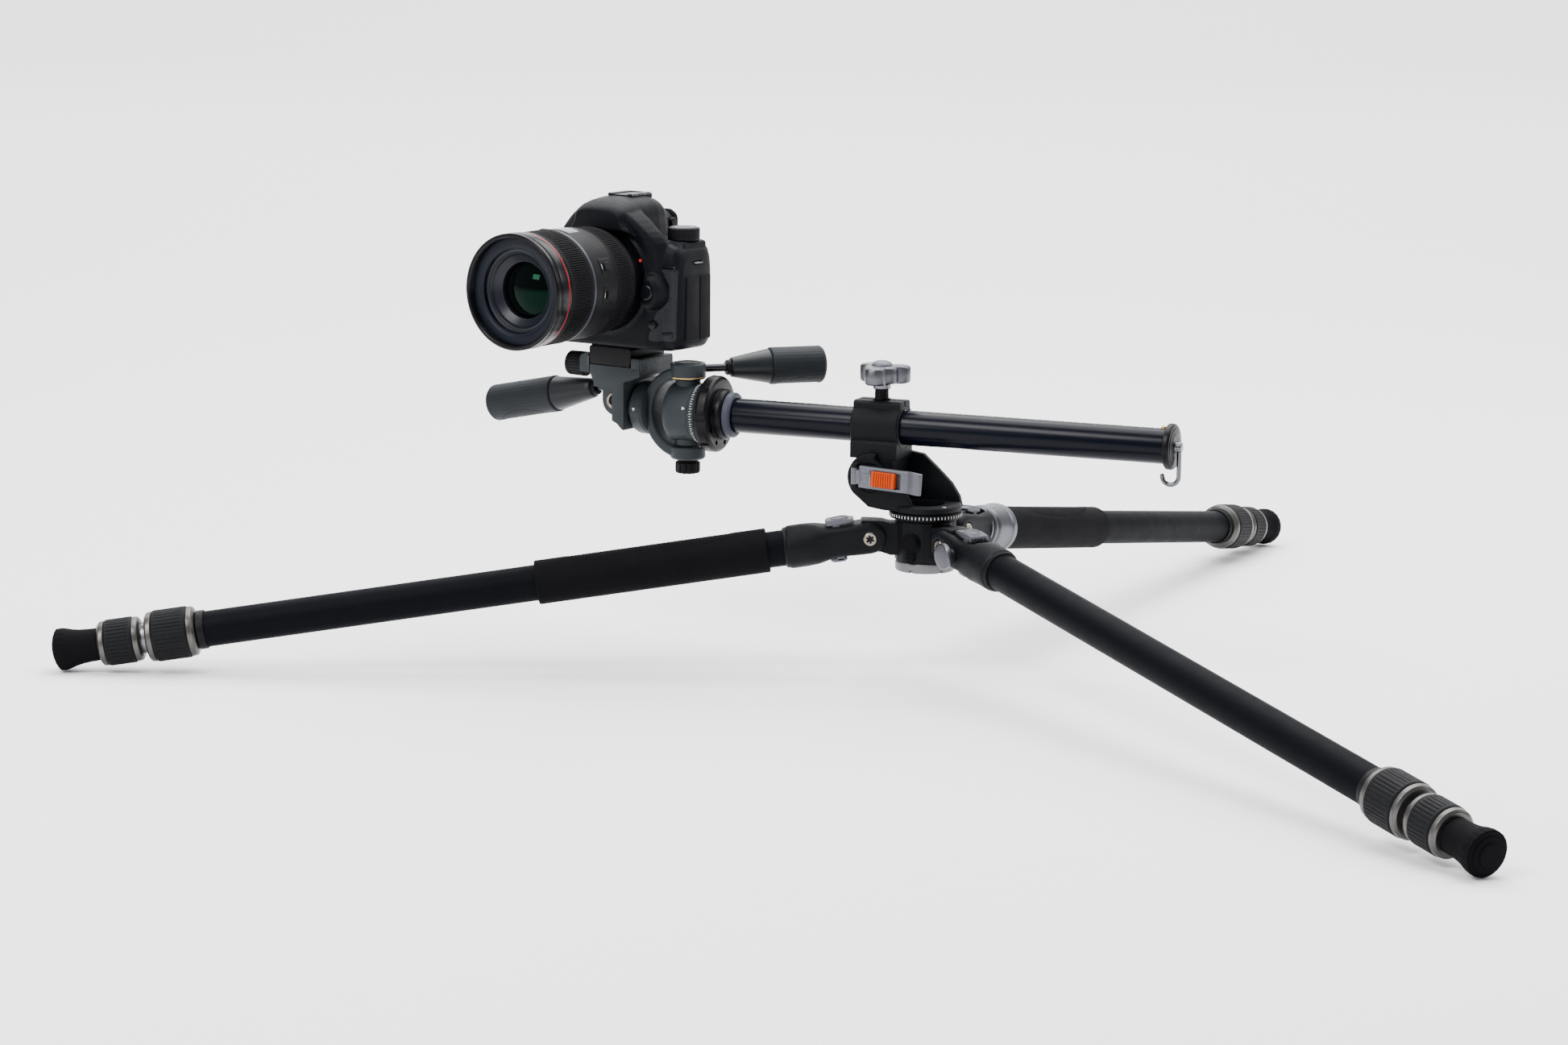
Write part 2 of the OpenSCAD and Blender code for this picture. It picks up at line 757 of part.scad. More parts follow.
module lens_release() {
    color("#1c1d20") camera_frame() translate([release_x, 0, release_z]) {
        rod_y(mount_y - 3.5, mount_y + 3.5, 6);
    }
}

// ---- lens: distances run back from the filter ring ------------------------

module lens_frame() {
    camera_frame() translate([0, lens_y, lens_z]) children();
}

module lens_barrel() {
    end = lens_len - seat;
    color("#17181b") lens_frame() difference() {
        union() {
            rod_y(zoom_start + gap, zoom_end + gap, 37.7);
            rod_y(zoom_end + gap, window_end, 40.4);
            rod_y(window_end - eps, focus_end + gap, 35.3);
            rod_y(focus_end + gap, end, 34.8);
            rod_y(end - eps, end + 5, box_r - 1);
        }
        rod_y(0, 66, sleeve_r + gap);
        rod_y(60, end + 6, 17);
    }
}

module zoom_ring() {
    color("#1b1c1f") lens_frame() ring_y(zoom_start, zoom_end, 41.2, 38);
}

module focus_ring() {
    color("#1b1c1f") lens_frame() ring_y(window_end + gap, focus_end, 39.6, 35.6);
}

module lens_front() {
    color("#101114") lens_frame() difference() {
        union() {
            rod_y(0, zoom_start - gap, lens_d / 2);
            rod_y(zoom_start - gap - eps, 60, sleeve_r);
        }
        rod_y(-1, 6, filter_d / 2);
        rod_y(5, 11, 35);
        rod_y(5, 61, 30);
    }
}

module front_glass() {
    color("#2c4a44") lens_frame() intersection() {
        rod_y(12, 30, 30 - seat);
        translate([0, 12 + 60, 0]) sphere(r = 60);
    }
}

// ---- legs -------------------------------------------------------------------

module leg_section(az) {
    color("#16181c") leg_frame(az) {
        difference() {
            union() {
                rod_y(-fork_out / 2, fork_out / 2, fork_r);
                block([0, -fork_out / 2, -fork_r], [socket_start + 4, fork_out / 2, fork_r]);
                rod_x(socket_start, socket_end, socket_r);
            }
            block([-fork_r - 1, -fork_in / 2, -20], [socket_start - 1, fork_in / 2, 20]);
            rod_x(socket_start + 6, socket_end + 1, tube_r + seat);
            rod_y(-fork_out, fork_out, bolt_r + gap);
            rod_y(-fork_out, -fork_out / 2 + 2.2, bolt_head_r + gap);
            rod_y(fork_out / 2 - 2.2, fork_out, bolt_head_r + gap);
            if (az == front_az)
                translate([knob_station, 0, 0]) rod_y(-fork_out, 0, 3 + gap);
        }
        ring_x(socket_start + 7, upper_len, tube_r, tube_r - tube_wall);
    }
}

module leg_grip(az) {
    color("#141517") leg_frame(az) ring_x(grip_start, grip_start + grip_len, 16, tube_r + seat);
}

// Sliding latch that bears on the spider's stop: a pull tab above and below, joined through the fork.
module angle_lock(az) {
    color("#d0d1d6") leg_frame(az) {
        block([9.5, -tab_w / 2, fork_r + gap], [30, tab_w / 2, fork_r + 5]);
        block([20, -tab_w / 2, -fork_r - 2.6], [25.5, tab_w / 2, fork_r + 1]);
        block([18, -tab_w / 2, -fork_r - 3], [30, tab_w / 2, -fork_r - gap]);
    }
}

module twist_lock(start, len, r_out, r_tube, r_next) {
    step = 12;
    difference() {
        rod_x(start, start + len, r_out);
        rod_x(start - 1, start + step, r_tube + gap);
        rod_x(start + step - 1, start + len + 1, r_next + gap);
    }
}

module upper_lock(az) {
    color("#2a2b2e") leg_frame(az) twist_lock(lock1_start, lock1_len, lock1_r, tube_r, mid_r);
}

module middle_tube(az) {
    color("#9a9ba0") leg_frame(az) ring_x(socket_end + 10, lock2_start + 10, mid_r, mid_r - mid_wall);
}

module lower_lock(az) {
    color("#2a2b2e") leg_frame(az) twist_lock(lock2_start, lock2_len, lock2_r, mid_r, low_r);
}

// The lower tube with the rubber foot on its end.
module foot_tube(az) {
    tube_end = foot_end - 14;
    color("#1a1c20") leg_frame(az) {
        ring_x(socket_end + 20, tube_end, low_r, low_r - low_wall);
        difference() {
            translate([foot_start + gap, 0, 0]) rotate([0, 90, 0]) rotate_extrude() polygon([
                [0, 0], [foot_neck_r, 0], [foot_neck_r + 0.3, 8], [foot_neck_r + 1.6, 18],
                [foot_r, 26], [foot_r, 31], [foot_r - 3, foot_end - foot_start - gap],
                [0, foot_end - foot_start - gap],
            ]);
            rod_x(foot_start - 5, tube_end + seat, low_r + seat);
        }
    }
}

module leg_section_left() leg_section(left_az);
module leg_section_front() leg_section(front_az);
module leg_section_rear() leg_section(rear_az);
module leg_grip_left() leg_grip(left_az);
module leg_grip_rear() leg_grip(rear_az);
module angle_lock_left() angle_lock(left_az);
module angle_lock_front() angle_lock(front_az);
module angle_lock_rear() angle_lock(rear_az);
module upper_lock_left() upper_lock(left_az);
module upper_lock_front() upper_lock(front_az);
module upper_lock_rear() upper_lock(rear_az);
module middle_tube_left() middle_tube(left_az);
module middle_tube_front() middle_tube(front_az);
module middle_tube_rear() middle_tube(rear_az);
module lower_lock_left() lower_lock(left_az);
module lower_lock_front() lower_lock(front_az);
module lower_lock_rear() lower_lock(rear_az);
module foot_tube_left() foot_tube(left_az);
module foot_tube_front() foot_tube(front_az);
module foot_tube_rear() foot_tube(rear_az);

spider_casting();
dial_ring();
base_ring();
thread_plug();
leg_pivot_bolts();
leg_knob();
column_base();
tilt_bolt();
clamp_lever();
lever_button();
collar_clamp();
collar_liner();
collar_knob();
column_tube();
end_cap();
bag_hook();
head_plate();
pan_housing();
tilt_yoke();
friction_knob();
tilt_handle();
side_bearing();
tilt_bracket();
side_handle();
plate_knob();
plate_jaw();
quick_plate();
camera_body();
image_sensor();
reflex_mirror();
mode_dial();
shutter_button();
main_dial();
rear_dial();
lens_release();
lens_barrel();
zoom_ring();
focus_ring();
lens_front();
front_glass();
leg_section_left();
leg_section_front();
leg_section_rear();
leg_grip_left();
leg_grip_rear();
angle_lock_left();
angle_lock_front();
angle_lock_rear();
upper_lock_left();
upper_lock_front();
upper_lock_rear();
middle_tube_left();
middle_tube_front();
middle_tube_rear();
lower_lock_left();
lower_lock_front();
lower_lock_rear();
foot_tube_left();
foot_tube_front();
foot_tube_rear();
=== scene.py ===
import json
import math

import bmesh
import bpy
from mathutils import Matrix, Vector


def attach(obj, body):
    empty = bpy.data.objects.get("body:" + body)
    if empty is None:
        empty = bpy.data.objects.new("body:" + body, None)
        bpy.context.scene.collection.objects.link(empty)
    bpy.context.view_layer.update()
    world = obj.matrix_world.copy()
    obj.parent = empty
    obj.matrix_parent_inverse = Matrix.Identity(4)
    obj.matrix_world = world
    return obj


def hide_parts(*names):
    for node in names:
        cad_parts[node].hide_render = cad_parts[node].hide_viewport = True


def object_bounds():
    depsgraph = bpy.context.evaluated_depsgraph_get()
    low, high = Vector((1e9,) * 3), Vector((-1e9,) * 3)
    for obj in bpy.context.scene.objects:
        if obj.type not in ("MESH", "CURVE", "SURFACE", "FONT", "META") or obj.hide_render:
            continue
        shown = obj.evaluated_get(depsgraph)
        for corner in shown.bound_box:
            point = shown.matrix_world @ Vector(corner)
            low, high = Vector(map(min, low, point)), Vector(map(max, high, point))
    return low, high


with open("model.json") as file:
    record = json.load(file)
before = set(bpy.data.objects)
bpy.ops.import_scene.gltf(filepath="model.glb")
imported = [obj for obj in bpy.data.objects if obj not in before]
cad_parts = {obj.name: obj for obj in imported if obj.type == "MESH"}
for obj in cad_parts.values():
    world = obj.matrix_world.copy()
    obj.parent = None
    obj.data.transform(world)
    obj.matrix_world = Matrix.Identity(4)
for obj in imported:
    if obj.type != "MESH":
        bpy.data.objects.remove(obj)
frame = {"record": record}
cad_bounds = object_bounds()

# --- Frames. Every shape below is drawn in millimetres in one of these local frames.

MM = 0.001
UP = Vector((0, 0, 1))
joints = {j["name"]: j for j in frame["record"]["behaviour"]["joints"]}
LEGS = ("left", "front", "rear")


def joint_axis(name):
    return Vector(joints[name]["axis"]).normalized()


def joint_point(name):
    return Vector(joints[name]["pos_m"])


def place_at(origin, x_axis):
    """A matrix from local millimetres to metres, with X along x_axis and Z near the world's."""
    x = x_axis.normalized()
    y = UP.cross(x).normalized()
    z = x.cross(y)
    m = Matrix((x, y, z)).transposed().to_4x4()
    m.translation = origin
    return m @ Matrix.Scale(MM, 4)


TILT = joint_point("head_pan")
HEAD_REACH = (TILT.xy.length) / MM
HUB = Matrix.Scale(MM, 4)
COLUMN = place_at(Vector((0, 0, TILT.z)), joint_axis("column_slide"))
BASE = place_at(Vector((0, 0, 0)), joint_axis("column_slide"))
HEAD = place_at(TILT, -joint_axis("bracket_tilt"))
LENS_BACK = joint_axis("plate_slide")
LENS_MARK = -111.3          # the zoom ring's pivot point, behind the tilt axis along the lens
LENS = place_at(joint_point("zoom_turn") - LENS_BACK * LENS_MARK * MM, -joint_axis("bracket_tilt"))
LEG = {n: place_at(joint_point("leg_fold_" + n), joint_axis("middle_slide_" + n)) for n in LEGS}
COLUMN_END = (joint_point("hook_swing").xy.length) / MM


def shift(x, y, z):
    return Matrix.Translation((x, y, z))


def spin(degrees, axis):
    return Matrix.Rotation(math.radians(degrees), 4, axis)


# --- Mesh builders. They return a bmesh in local millimetres.

TINY = 1e-6
NEARLY_STRAIGHT = math.radians(178)
SIDE_SHARE = 0.48           # the most of a side that the arc at one of its ends may take
AXES = {"X": lambda a, c, s: (a, c, s), "Y": lambda a, c, s: (s, a, c), "Z": lambda a, c, s: (c, s, a)}


def closed(bm):
    bmesh.ops.recalc_face_normals(bm, faces=bm.faces)
    return bm


def rounded(points, radius, steps=3, loop=False):
    """The points with each corner replaced by a short arc. A point may carry its own radius."""
    out = []
    count = len(points)
    for i, point in enumerate(points):
        p = Vector(point[:2])
        r = point[2] if len(point) > 2 else radius
        if not loop and i in (0, count - 1) or r <= 0:
            out.append((p.x, p.y))
            continue
        before = Vector(points[i - 1][:2]) - p
        after = Vector(points[(i + 1) % count][:2]) - p
        if before.length < TINY or after.length < TINY:
            out.append((p.x, p.y))
            continue
        angle = before.angle(after)
        if angle > NEARLY_STRAIGHT:
            out.append((p.x, p.y))
            continue
        reach = min(r / math.tan(angle / 2), before.length * SIDE_SHARE, after.length * SIDE_SHARE)
        a = p + before.normalized() * reach
        b = p + after.normalized() * reach
        for k in range(steps + 1):
            t = k / steps
            q = a.lerp(p, t).lerp(p.lerp(b, t), t)
            out.append((q.x, q.y))
    return out


def lathe(profile, axis="X", sides=96, radius=0.4, loop=False, wave=None, step=None):
    """Turns (along, radius) points about an axis. wave(along, angle) adds to the radius."""
    points = rounded(profile, radius, loop=loop)
    if step:
        points = subdivided(points, step, loop)
    bm = bmesh.new()
    rings = []
    for a, r in points:
        if r < TINY:
            rings.append([bm.verts.new(AXES[axis](a, 0, 0))])
            continue
        ring = []
        for k in range(sides):
            t = 2 * math.pi * k / sides
            rr = r + (wave(a, t) if wave else 0)
            ring.append(bm.verts.new(AXES[axis](a, *polar(rr, t))))
        rings.append(ring)
    pairs = list(zip(rings, rings[1:]))
    if loop:
        pairs.append((rings[-1], rings[0]))
    for p, q in pairs:
        for k in range(sides):
            n = (k + 1) % sides
            corners = [p[k % len(p)], q[k % len(q)], q[n % len(q)], p[n % len(p)]]
            unique = list(dict.fromkeys(corners))
            if len(unique) > 2:
                bm.faces.new(unique)
    if not loop:
        for ring in (rings[0], rings[-1]):
            if len(ring) > 1:
                bm.faces.new(ring)
    return closed(bm)


def subdivided(points, step, loop=False):
    out = []
    ends = points[1:] + (points[:1] if loop else [])
    for (a, r), (b, s) in zip(points, ends):
        n = max(1, int(math.hypot(b - a, s - r) / step))
        out += [(a + (b - a) * k / n, r + (s - r) * k / n) for k in range(n)]
    if not loop:
        out.append(points[-1])
    return out


def bevel_edges(bm, edges, width):
    bmesh.ops.bevel(bm, geom=edges, offset=width, segments=3, affect="EDGES", profile=0.5,
            clamp_overlap=True)


def prism(outline, low, high, normal="Y", corner=0.0, bevel=0.6, steps=4):
    """Extrudes an outline between two heights along normal, with its rims rounded over."""
    points = rounded(outline, corner, steps, loop=True) if corner or len(outline[0]) > 2 else outline
    put = {"Y": lambda u, v, h: (u, h, v), "Z": lambda u, v, h: (u, v, h), "X": lambda u, v, h: (h, u, v)}
    bm = bmesh.new()
    rims = [[bm.verts.new(put[normal](u, v, h)) for u, v in points] for h in (low, high)]
    count = len(points)
    for k in range(count):
        n = (k + 1) % count
        bm.faces.new([rims[0][k], rims[0][n], rims[1][n], rims[1][k]])
    caps = [bm.faces.new(rims[0]), bm.faces.new(rims[1])]
    bmesh.ops.recalc_face_normals(bm, faces=bm.faces)
    if bevel:
        bevel_edges(bm, [e for f in caps for e in f.edges], bevel)
    return bm


def block(low, high, bevel=0.6):
    bm = bmesh.new()
    bmesh.ops.create_cube(bm, size=1)
    low, high = Vector(low), Vector(high)
    size = high - low
    for v in bm.verts:
        v.co = low + Vector(((v.co.x + 0.5) * size.x, (v.co.y + 0.5) * size.y, (v.co.z + 0.5) * size.z))
    if bevel:
        bevel_edges(bm, list(bm.edges), bevel)
    return bm


def rod(start, end, radius, sides=32, bevel=0.0):
    """A straight rod between two points."""
    start, end = Vector(start), Vector(end)
    length = (end - start).length
    bm = plug(0, length, radius, "Z", sides, bevel)
    turn = UP.rotation_difference(end - start).to_matrix().to_4x4()
    bm.transform(Matrix.Translation(start) @ turn)
    return bm


def hoop(start, end, inner, outer, axis, sides, radius):
    """A plain ring between two places along an axis."""
    return lathe([(start, inner), (start, outer), (end, outer), (end, inner)], axis, sides, radius, True)


def plug(start, end, outer, axis, sides, radius=0):
    return lathe([(start, 0), (start, outer), (end, outer), (end, 0)], axis, sides, radius)


def loft(sections):
    """Joins rings of equal length, each a list of points, and closes both ends."""
    bm = bmesh.new()
    rings = [[bm.verts.new(p) for p in ring] for ring in sections]
    count = len(rings[0])
    for p, q in zip(rings, rings[1:]):
        for k in range(count):
            n = (k + 1) % count
            bm.faces.new([p[k], p[n], q[n], q[k]])
    bm.faces.new(rings[0])
    bm.faces.new(rings[-1])
    return closed(bm)


def wire(points, radius, sides=16):
    """A round wire through the points."""
    points = [Vector(p) for p in points]
    rings = []
    normal = None
    for i, p in enumerate(points):
        ahead = points[min(i + 1, len(points) - 1)] - points[max(i - 1, 0)]
        ahead.normalize()
        if normal is None:
            normal = ahead.orthogonal().normalized()
        normal = (normal - ahead * normal.dot(ahead)).normalized()
        side = ahead.cross(normal)
        turns = [2 * math.pi * k / sides for k in range(sides)]
        rings.append([p + (normal * math.cos(t) + side * math.sin(t)) * radius for t in turns])
    return loft(rings)


def fluted(depth, count, power=1.5, start=-math.inf, end=math.inf):
    """A wave for lathe: rounded grooves along the axis, between two places on it."""
    return lambda a, t: -depth * max(0, math.cos(t * count)) ** power if start < a < end else 0


def turn_from(middle, t):
    """The angle t measured from the middle one, between half a turn back and half a turn on."""
    return math.atan2(math.sin(t - middle), math.cos(t - middle))


def polar(radius, t):
    return radius * math.cos(t), radius * math.sin(t)


def squircle(half_w, half_h, power, count=64):
    """A rounded rectangle from a superellipse, as (u, v) points."""
    out = []
    for k in range(count):
        t = 2 * math.pi * (k + 0.5) / count
        c, s = math.cos(t), math.sin(t)
        out.append((half_w * math.copysign(abs(c) ** (2 / power), c),
                half_h * math.copysign(abs(s) ** (2 / power), s)))
    return out


def moved(bm, matrix):
    bm.transform(matrix)
    return bm


def flipped(bm):
    """The part mirrored to the near side."""
    return moved(bm, Matrix.Scale(-1, 4, (0, 1, 0)))


def merged(*parts):
    out = bmesh.new()
    for bm in parts:
        mesh = bpy.data.meshes.new("part")
        bm.to_mesh(mesh)
        bm.free()
        out.from_mesh(mesh)
        bpy.data.meshes.remove(mesh)
    return out


# --- Pieces

def linked(name, data):
    obj = bpy.data.objects.new(name, data)
    bpy.context.scene.collection.objects.link(obj)
    return obj


def to_object(name, bm, place):
    bm.transform(place)
    bmesh.ops.recalc_face_normals(bm, faces=bm.faces)
    mesh = bpy.data.meshes.new(name)
    bm.to_mesh(mesh)
    bm.free()
    return linked(name, mesh)


def smooth(obj, degrees=35):
    mesh = obj.data
    mesh.shade_smooth()
    mesh.set_sharp_from_angle(angle=math.radians(degrees))


def apply_modifiers(obj):
    graph = bpy.context.evaluated_depsgraph_get()
    mesh = bpy.data.meshes.new_from_object(obj.evaluated_get(graph))
    old = obj.data
    obj.modifiers.clear()
    obj.data = mesh
    bpy.data.meshes.remove(old)


def cut(obj, place, *solids, operation="DIFFERENCE"):
    """Cuts, joins or trims obj with solids drawn in the place's frame, which are used up."""
    for bm in solids:
        cutter = to_object("cutter", bm, place)
        mod = obj.modifiers.new("cut", "BOOLEAN")
        mod.operation = operation
        mod.solver = "EXACT"
        mod.object = cutter
        apply_modifiers(obj)
        bpy.data.objects.remove(cutter)


def join(obj, place, *solids):
    cut(obj, place, *solids, operation="UNION")


def round_edges(obj, width, segments=2, angle=30):
    """Bevels the sharp edges, width in millimetres."""
    mod = obj.modifiers.new("round", "BEVEL")
    mod.width = width * MM
    mod.segments = segments
    mod.limit_method = "ANGLE"
    mod.angle_limit = math.radians(angle)
    mod.harden_normals = False
    apply_modifiers(obj)
    return obj


def piece(obj, body, look, replaces=(), degrees=35):
    """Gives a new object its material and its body."""
    obj.data.materials.clear()
    obj.data.materials.append(look)
    smooth(obj, degrees)
    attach(obj, body)
    if replaces:
        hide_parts(*replaces)
    return obj


def make(name, bm, place, body, look, replaces=(), degrees=35):
    return piece(to_object(name, bm, place), body, look, replaces, degrees)


def on(place, body):
    """A maker of the pieces that are drawn in one frame and ride on one body."""
    def maker(name, bm, slot, look, replaces=(), degrees=35):
        return make(name, bm, place, body, look, replaces, degrees)
    return maker


on_hub = on(HUB, "hub")
on_base = on(BASE, "column_base")
on_column = on(COLUMN, "column")
on_yoke = on(HEAD, "yoke")
on_camera = on(LENS, "camera")


# --- Materials

DRIFT_CELLS, GLOSS_CELLS, WEAR_CELLS = 45.0, 90.0, 400.0        # noise cells per metre
EDGE_FROM, EDGE_TO = 0.53, 0.62                                 # the pointiness of a worn edge
RELIEF_DEPTH = 0.0002


def texture(mat, kind, vector, **settings):
    """A texture node fed with a vector, with the named inputs set."""
    node = mat.node_tree.nodes.new(kind)
    for name, value in settings.items():
        node.inputs[name].default_value = value
    mat.node_tree.links.new(vector, node.inputs["Vector"])
    return node


def spread(mat, value, low, high, start=0.3, end=0.7):
    """Maps a value between two limits."""
    node = mat.node_tree.nodes.new("ShaderNodeMapRange")
    node.inputs["From Min"].default_value = start
    node.inputs["From Max"].default_value = end
    node.inputs["To Min"].default_value = low
    node.inputs["To Max"].default_value = high
    mat.node_tree.links.new(value, node.inputs["Value"])
    return node.outputs["Result"]


def blended(mat, factor, first, second):
    """Mixes two colours. Each is a plain colour or the output of another node."""
    node = mat.node_tree.nodes.new("ShaderNodeMix")
    node.data_type = "RGBA"
    mat.node_tree.links.new(factor, node.inputs["Factor"])
    for socket, colour in (("A", first), ("B", second)):
        if isinstance(colour, tuple):
            node.inputs[socket].default_value = (*colour, 1)
        else:
            mat.node_tree.links.new(colour, node.inputs[socket])
    return node.outputs["Result"]


def math_node(mat, operation, first, second):
    node = mat.node_tree.nodes.new("ShaderNodeMath")
    node.operation = operation
    for socket, value in zip(node.inputs, (first, second)):
        if isinstance(value, (int, float)):
            socket.default_value = value
        else:
            mat.node_tree.links.new(value, socket)
    return node.outputs["Value"]


def worn_edges(mat, vector, colour, amount, bare):
    """Lets a paler colour show where edges are rubbed."""
    geometry = mat.node_tree.nodes.new("ShaderNodeNewGeometry")
    edge = spread(mat, geometry.outputs["Pointiness"], 0, 1, EDGE_FROM, EDGE_TO)
    patchy = texture(mat, "ShaderNodeTexNoise", vector, Scale=WEAR_CELLS)
    rubbed = math_node(mat, "MULTIPLY", edge, spread(mat, patchy.outputs["Fac"], 0, amount))
    return blended(mat, rubbed, colour, bare)


def material(name, colour, rough, metal=0.0, grain=6000.0, bump=0.25, mottle=0.12, drift=0.03, wear=0.0,
        bare=(0.30, 0.30, 0.31), pebbles=0.0, specular=0.12, tint=None, stretch=(1, 1, 1)):
    """A procedural surface: fine grain in the relief, slow drift in colour and gloss, pale worn edges.

    grain and pebbles are in cells per metre, and drift is how far the roughness wanders.
    """
    mat = bpy.data.materials.new(name)
    mat.use_nodes = True
    nodes, links = mat.node_tree.nodes, mat.node_tree.links
    shader = nodes["Principled BSDF"]
    shader.inputs["Metallic"].default_value = metal
    shader.inputs["Specular IOR Level"].default_value = specular
    if tint:
        shader.inputs["Specular Tint"].default_value = (*tint, 1)
    coords = nodes.new("ShaderNodeTexCoord")
    squeeze = nodes.new("ShaderNodeMapping")
    squeeze.inputs["Scale"].default_value = stretch
    links.new(coords.outputs["Object"], squeeze.inputs["Vector"])
    vector = squeeze.outputs["Vector"]
    slow = texture(mat, "ShaderNodeTexNoise", vector, Scale=DRIFT_CELLS, Detail=4.0)
    dark = tuple(c * (1 - mottle) for c in colour)
    light = tuple(min(1, c * (1 + mottle)) for c in colour)
    surface = blended(mat, spread(mat, slow.outputs["Fac"], 0, 1), dark, light)
    if wear:
        surface = worn_edges(mat, vector, surface, wear, bare)
    links.new(surface, shader.inputs["Base Color"])
    gloss = texture(mat, "ShaderNodeTexNoise", vector, Scale=GLOSS_CELLS, Detail=5.0)
    roughness = spread(mat, gloss.outputs["Fac"], max(0.01, rough - drift), min(1, rough + drift))
    links.new(roughness, shader.inputs["Roughness"])
    height = texture(mat, "ShaderNodeTexNoise", vector, Scale=grain, Detail=2.0).outputs["Fac"]
    if pebbles:
        cells = texture(mat, "ShaderNodeTexVoronoi", vector, Scale=pebbles, Randomness=1.0)
        height = math_node(mat, "SUBTRACT", math_node(mat, "MULTIPLY", height, 0.3),
                cells.outputs["Distance"])
    relief = nodes.new("ShaderNodeBump")
    relief.inputs["Strength"].default_value = bump
    relief.inputs["Distance"].default_value = RELIEF_DEPTH
    links.new(height, relief.inputs["Height"])
    links.new(relief.outputs["Normal"], shader.inputs["Normal"])
    return mat


CAST_BLACK = material("cast_black", (0.0032, 0.0035, 0.0046), 0.50, bump=0.45, wear=0.2,
        bare=(0.06, 0.06, 0.07), specular=0.08)
TUBE_BLACK = material("tube_black", (0.0022, 0.0026, 0.0038), 0.55, bump=0.05, mottle=0.06, specular=0.03)
COLUMN_BLACK = material("column_black", (0.0008, 0.0015, 0.0046), 0.26, bump=0.01, mottle=0.05, drift=0.01,
        specular=0.10)
GRIP_RUBBER = material("grip_rubber", (0.0034, 0.0034, 0.0042), 0.68, grain=4200, bump=0.6, specular=0.03)
RIB_RUBBER = material("rib_rubber", (0.0040, 0.0042, 0.0052), 0.58, grain=4200, bump=0.5, wear=0.15,
        bare=(0.03, 0.03, 0.035), specular=0.10)
GUNMETAL = material("gunmetal", (0.085, 0.082, 0.078), 0.34, metal=0.9, bump=0.08, wear=0.4,
        stretch=(40, 1, 1))
SILVER = material("silver", (0.090, 0.092, 0.103), 0.33, metal=0.9, grain=1600, bump=0.12, mottle=0.07,
        stretch=(1, 1, 30))
SILVER_CAST = material("silver_cast", (0.105, 0.105, 0.122), 0.42, metal=0.7, bump=0.4, mottle=0.07)
PALE_ALLOY = material("pale_alloy", (0.135, 0.128, 0.137), 0.44, metal=0.6, bump=0.2, mottle=0.05)
BARE_TUBE = material("bare_tube", (0.15, 0.15, 0.162), 0.34, metal=1.0, grain=1800, bump=0.08,
        stretch=(1, 1, 25))
NICKEL = material("nickel", (0.21, 0.185, 0.155), 0.27, metal=1.0, bump=0.08, mottle=0.10)
POLISHED = material("polished", (0.115, 0.118, 0.128), 0.22, metal=1.0, bump=0.03, mottle=0.04, drift=0.015)
CHARCOAL = material("charcoal", (0.0165, 0.0215, 0.0245), 0.46, bump=0.5, wear=0.3,
        bare=(0.12, 0.13, 0.14), specular=0.2)
HANDLE_GREY = material("handle_grey", (0.0085, 0.0105, 0.0125), 0.50, grain=4200, bump=0.5, specular=0.12)
CONE_SATIN = material("cone_satin", (0.0060, 0.0072, 0.0088), 0.36, bump=0.10, specular=0.22)
CHARCOAL_DARK = material("charcoal_dark", (0.0075, 0.0095, 0.0115), 0.50, bump=0.4)
GLOSS_BLACK = material("gloss_black", (0.0018, 0.0018, 0.0026), 0.36, bump=0.06, mottle=0.06, drift=0.02,
        specular=0.12)
KNOB_BLACK = material("knob_black", (0.0032, 0.0032, 0.0042), 0.46, bump=0.35, wear=0.2,
        bare=(0.035, 0.035, 0.04), specular=0.10)
ROD_DARK = material("rod_dark", (0.030, 0.030, 0.033), 0.26, metal=0.9, bump=0.05)
GREY_RING = material("grey_ring", (0.036, 0.039, 0.055), 0.45, bump=0.25)
LINER = material("liner", (0.018, 0.018, 0.021), 0.55, bump=0.25)
ORANGE = material("orange", (0.40, 0.038, 0.001), 0.50, bump=0.25, mottle=0.06, specular=0.10)
WHITE_PAINT = material("white_paint", (0.60, 0.60, 0.59), 0.55, bump=0.2, mottle=0.05)
BRASS = material("brass", (0.50, 0.34, 0.12), 0.30, metal=1.0, bump=0.08)
SHELL = material("shell", (0.0018, 0.0020, 0.0036), 0.46, bump=0.4, wear=0.1, bare=(0.012, 0.012, 0.018),
        specular=0.09)
SHELL_EDGE = material("shell_edge", (0.0028, 0.0030, 0.0050), 0.32, bump=0.12, specular=0.18)
LEATHER = material("leather", (0.0030, 0.0034, 0.0062), 0.42, grain=9000, bump=1.0, pebbles=1100,
        specular=0.25)
DOOR_RUBBER = material("door_rubber", (0.0018, 0.0020, 0.0032), 0.55, bump=0.35, specular=0.08)
LENS_GLOSS = material("lens_gloss", (0.0016, 0.0016, 0.0024), 0.24, bump=0.03, drift=0.015, specular=0.16)
LENS_SATIN = material("lens_satin", (0.0022, 0.0022, 0.0030), 0.42, bump=0.2, specular=0.10)
RING_RUBBER = material("ring_rubber", (0.0024, 0.0024, 0.0032), 0.55, bump=0.35, specular=0.08)
NAME_RING = material("name_ring", (0.0022, 0.0034, 0.0078), 0.45, bump=0.12, specular=0.14)
CONE_GREY = material("cone_grey", (0.0055, 0.0068, 0.0105), 0.36, bump=0.10, specular=0.2)
RED_RING = material("red_ring", (0.30, 0.003, 0.008), 0.34, bump=0.08, mottle=0.05, specular=0.15)
RED_PAINT = material("red_paint", (0.50, 0.006, 0.012), 0.35, bump=0.08, mottle=0.05)
# Pale grey painted highlight: this colour stands in for the light caught along the edge of the lens
# barrel's step.
LEDGE_HIGHLIGHT_GREY = material("ledge_painted_highlight", (0.055, 0.058, 0.072), 0.30, metal=0.5, bump=0.06)
